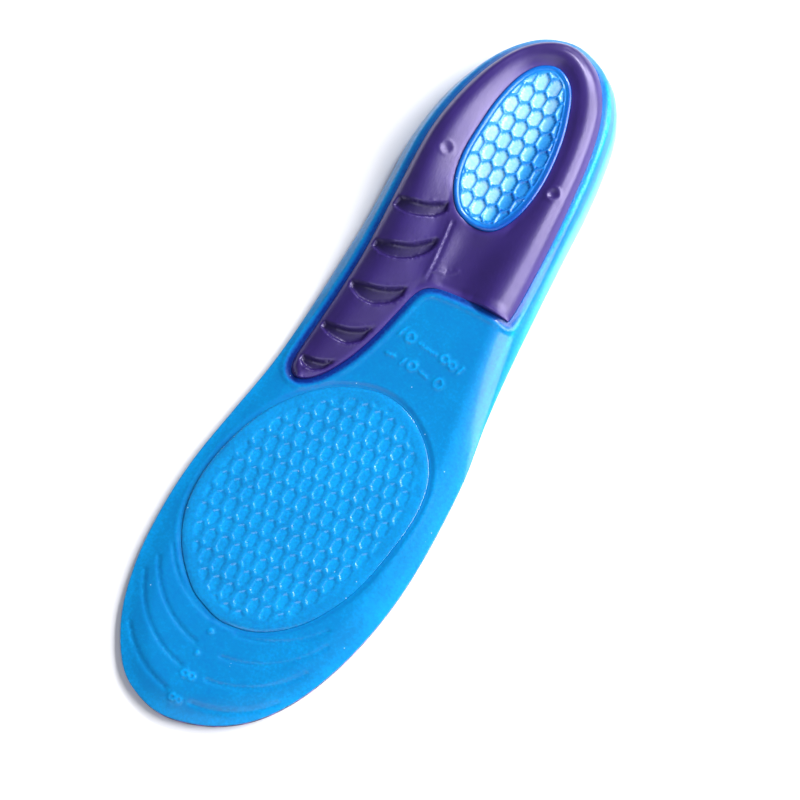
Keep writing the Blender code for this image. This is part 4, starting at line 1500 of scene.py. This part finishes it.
@dataclass
class KnitCover:
    """The knitted top cover, a one-millimetre sheet that lines the whole foot side."""

    finish: TricotKnit = field(default_factory=TricotKnit)
    thick: float = 1.0
    toe_hub: float = 40.0
    heel_hub: float = 229.0

    def build(self) -> bpy.types.Object:
        """Two skins a cloth's thickness apart, carried from the rim to the spine, with a round edge.

        Returns:
            The new piece.
        """
        centre, edge = self.spokes(170, 64)
        inwards = centre - edge
        inwards /= np.linalg.norm(inwards, axis=1)[:, None]
        turns = np.radians((0, 9, 18, 27, 36, 45, 54, 63, 72, 81, 90))
        rows = []
        foot = LAST.ring(edge, inwards, np.full(len(edge), math.pi / 2), np.zeros(len(edge)))[:, :2]
        for share in (1.0, 0.8, 0.6, 0.4, 0.2):
            plan = foot + (centre - foot) * share
            rows.append(np.column_stack([plan, LAST.cup(plan[:, 1])]))
        for turn in turns[::-1]:
            rows.append(LAST.ring(edge, inwards, np.full(len(edge), turn), np.zeros(len(edge))))
        for lift in (0.25, 0.75):
            rim = LAST.ring(edge, inwards, np.zeros(len(edge)), np.full(len(edge), lift * self.thick))
            rim[:, :2] -= inwards * 0.1
            rows.append(rim)
        for turn in turns:
            lift = np.full(len(edge), self.thick)
            rows.append(LAST.ring(edge, inwards, np.full(len(edge), turn), lift))
        for share in (0.2, 0.4, 0.6, 0.8, 1.0):
            plan = foot + (centre - foot) * share
            rows.append(np.column_stack([plan, LAST.cup(plan[:, 1]) + self.thick]))
        made = np.stack(rows)
        grid = np.arange(made.shape[0] * made.shape[1]).reshape(made.shape[:2])
        ahead = np.roll(grid, -1, 1)
        quads = np.stack([grid[:-1], ahead[:-1], ahead[1:], grid[1:]], 2).reshape(-1, 4)
        return piece_of("knit_cover", made.reshape(-1, 3), [quads], 5e-6)

    def spokes(self, rungs: int, turns: int) -> tuple[Array, Array]:
        """Points on the spine and on the outline that face each other: two ladders and two fans.

        Args:
            rungs: spokes up each side.
            turns: spokes in each fan.

        Returns:
            The points on the spine, and those on the outline.
        """
        fine = smooth_curve(PlanCurve.OUTLINE.value, 24, True)
        toe, heel = int(fine[:, 1].argmin()), int(fine[:, 1].argmax())
        fine = np.roll(fine, -toe, 0)
        split = (heel - toe) % len(fine)
        arch, outer = fine[: split + 1], fine[split:][::-1]
        ladder = np.linspace(self.toe_hub, self.heel_hub, rungs)
        left = np.interp(ladder, arch[:, 1], arch[:, 0])
        right = np.interp(ladder, outer[:, 1], outer[:, 0])
        spine = np.stack([(left + right) / 2, ladder], 1)
        heel_fan = self.fan(fine, spine[-1], math.pi, turns)
        toe_fan = self.fan(fine, spine[0], 0.0, turns)
        centre = [spine, np.tile(spine[-1], (turns, 1)), spine[::-1], np.tile(spine[0], (turns, 1))]
        edge = [np.stack([left, ladder], 1), heel_fan, np.stack([right, ladder], 1)[::-1], toe_fan]
        return np.vstack(centre), np.vstack(edge)

    def fan(self, loop: Array, hub: Array, start: float, turns: int) -> Array:
        """Where rays from a hub, evenly turned clockwise through half a turn, meet the outline.

        Args:
            loop: points of the outline.
            hub: the point that the rays leave.
            start: bearing of the first ray's side, in radians.
            turns: number of rays.

        Returns:
            A point of the outline for each ray.
        """
        bearing = start - math.pi * np.arange(1, turns + 1) / (turns + 1)
        spokes = loop - hub
        angle = np.arctan2(spokes[:, 1], spokes[:, 0])
        order = np.argsort(angle)
        wrapped = (bearing + math.pi) % (2 * math.pi) - math.pi
        reach = np.interp(wrapped, angle[order], np.hypot(*spokes[order].T), period=2 * math.pi)
        return hub + np.stack([np.cos(bearing), np.sin(bearing)], 1) * reach[:, None]

    def dress(self, thing: bpy.types.Object) -> None:
        """Lays a cloth map over the plan, one unit to the metre, and gives the finish.

        Args:
            thing: the piece.
        """
        plan, height = plan_of(thing)
        layer = thing.data.uv_layers.new(name="cloth")
        corner = np.empty(len(thing.data.loops), np.int32)
        thing.data.loops.foreach_get("vertex_index", corner)
        flat = (plan + np.stack([np.sign(plan[:, 0]) * (LAST.cup(plan[:, 1]) - height) * 0.6,
                                 np.zeros(len(plan))], 1)) * MM
        layer.data.foreach_set("uv", flat[corner].astype(np.float32).ravel())
        thing.data.materials.append(self.finish.make())


# ---- studio -----------------------------------------------------------------------------------------
@dataclass
class Studio:
    """Pale sweep, camera and three softboxes.

    Each light is its name, its place in metres, the length of its side, its watts and its colour.
    The key stands behind on the little-toe side, the top one in front and the strip behind.
    """

    azimuth: float = 31.6
    elevation: float = 70.0
    distance: float = 1.0
    lens: float = 141.75
    target: tuple[float, float, float] = (5.636, -5.642, 0.0)
    world: float = 0.17
    lights: tuple[tuple[str, tuple[float, float, float], float, float, str], ...] = (
        ("key_softbox", (0.74, 0.6, 0.7), 0.9, 25.0, "#FFFFFF"),
        ("top_softbox", (0.35, -0.8, 1.3), 1.2, 7.0, "#F6F8FF"),
        ("back_strip", (0.12, 0.95, 0.72), 0.2, 7.0, "#FFFFFF"),
    )

    def build(self) -> None:
        """Makes the floor, the lights, the world and the camera."""
        self.floor()
        for light in self.lights:
            self.light(*light)
        world = bpy.data.worlds.new("studio_air")
        world.use_nodes = True
        sky = world.node_tree.nodes["Background"]
        sky.inputs["Color"].default_value = linear("#F3F5FF")
        sky.inputs["Strength"].default_value = self.world
        scene = bpy.context.scene
        scene.world = world
        scene.view_settings.view_transform = "Standard"
        self.camera()

    def floor(self) -> None:
        """A wide level sweep just under the cloth."""
        edge = 3.0
        mesh = bpy.data.meshes.new("studio_floor")
        corners = [(-edge, -edge, 0), (edge, -edge, 0), (edge, edge, 0), (-edge, edge, 0)]
        mesh.from_pydata(corners, [], [(0, 1, 2, 3)])
        thing = bpy.data.objects.new("studio_floor", mesh)
        bpy.context.scene.collection.objects.link(thing)
        mesh.materials.append(PaintedSweep().make())

    def light(
        self, name: str, at: tuple[float, float, float], size: float, watts: float, colour: str
    ) -> None:
        """A square softbox aimed at the insole.

        Args:
            name: the light's name.
            at: its place in metres.
            size: length of its side in metres.
            watts: its power.
            colour: sRGB hex colour.
        """
        lamp = bpy.data.lights.new(name, "AREA")
        lamp.size = size
        lamp.energy = watts
        lamp.color = linear(colour)[:3]
        thing = bpy.data.objects.new(name, lamp)
        thing.location = at
        thing.rotation_euler = Vector(at).to_track_quat("Z", "Y").to_euler()
        bpy.context.scene.collection.objects.link(thing)

    def camera(self) -> None:
        """A long lens looking down at the insole."""
        a, e = math.radians(self.azimuth), math.radians(self.elevation)
        back = Vector((math.sin(a) * math.cos(e), -math.cos(a) * math.cos(e), math.sin(e)))
        lens = bpy.data.cameras.new("camera")
        lens.lens, lens.sensor_width = self.lens, 36.0
        lens.clip_start, lens.clip_end = 0.05, 20.0
        thing = bpy.data.objects.new("camera", lens)
        thing.location = Vector(self.target) * MM + back * self.distance
        thing.rotation_euler = back.to_track_quat("Z", "Y").to_euler()
        bpy.context.scene.collection.objects.link(thing)
        bpy.context.scene.camera = thing


def main() -> None:
    """Builds every piece, dresses it and ties it to the CAD body."""
    logging.basicConfig(level=logging.INFO, format="%(message)s")
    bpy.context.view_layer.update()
    Studio().build()
    plans = (
        (GelBody(), "gel_body", "blue_gel"),
        (ArchInsert(), "heel_arch_cradle", "violet_elastomer"),
        (HeelPad(), "heel_gel_pad", "pale_blue_gel"),
        (BallPad(), "ball_gel_pad", "blue_gel_pad"),
        (KnitCover(), "top_cover", "violet_knit"),
    )
    for maker, stands_for, slot in plans:
        piece = maker.build()
        maker.dress(piece)
        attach(piece, "root")
        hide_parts(stands_for)
        LOG.info("%s: %d faces", piece.name, len(piece.data.polygons))
    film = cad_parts["bond_film"]
    film.data.materials.clear()
    film.data.materials.append(HotMeltFilm().make())


if __name__ == "__main__":
    main()
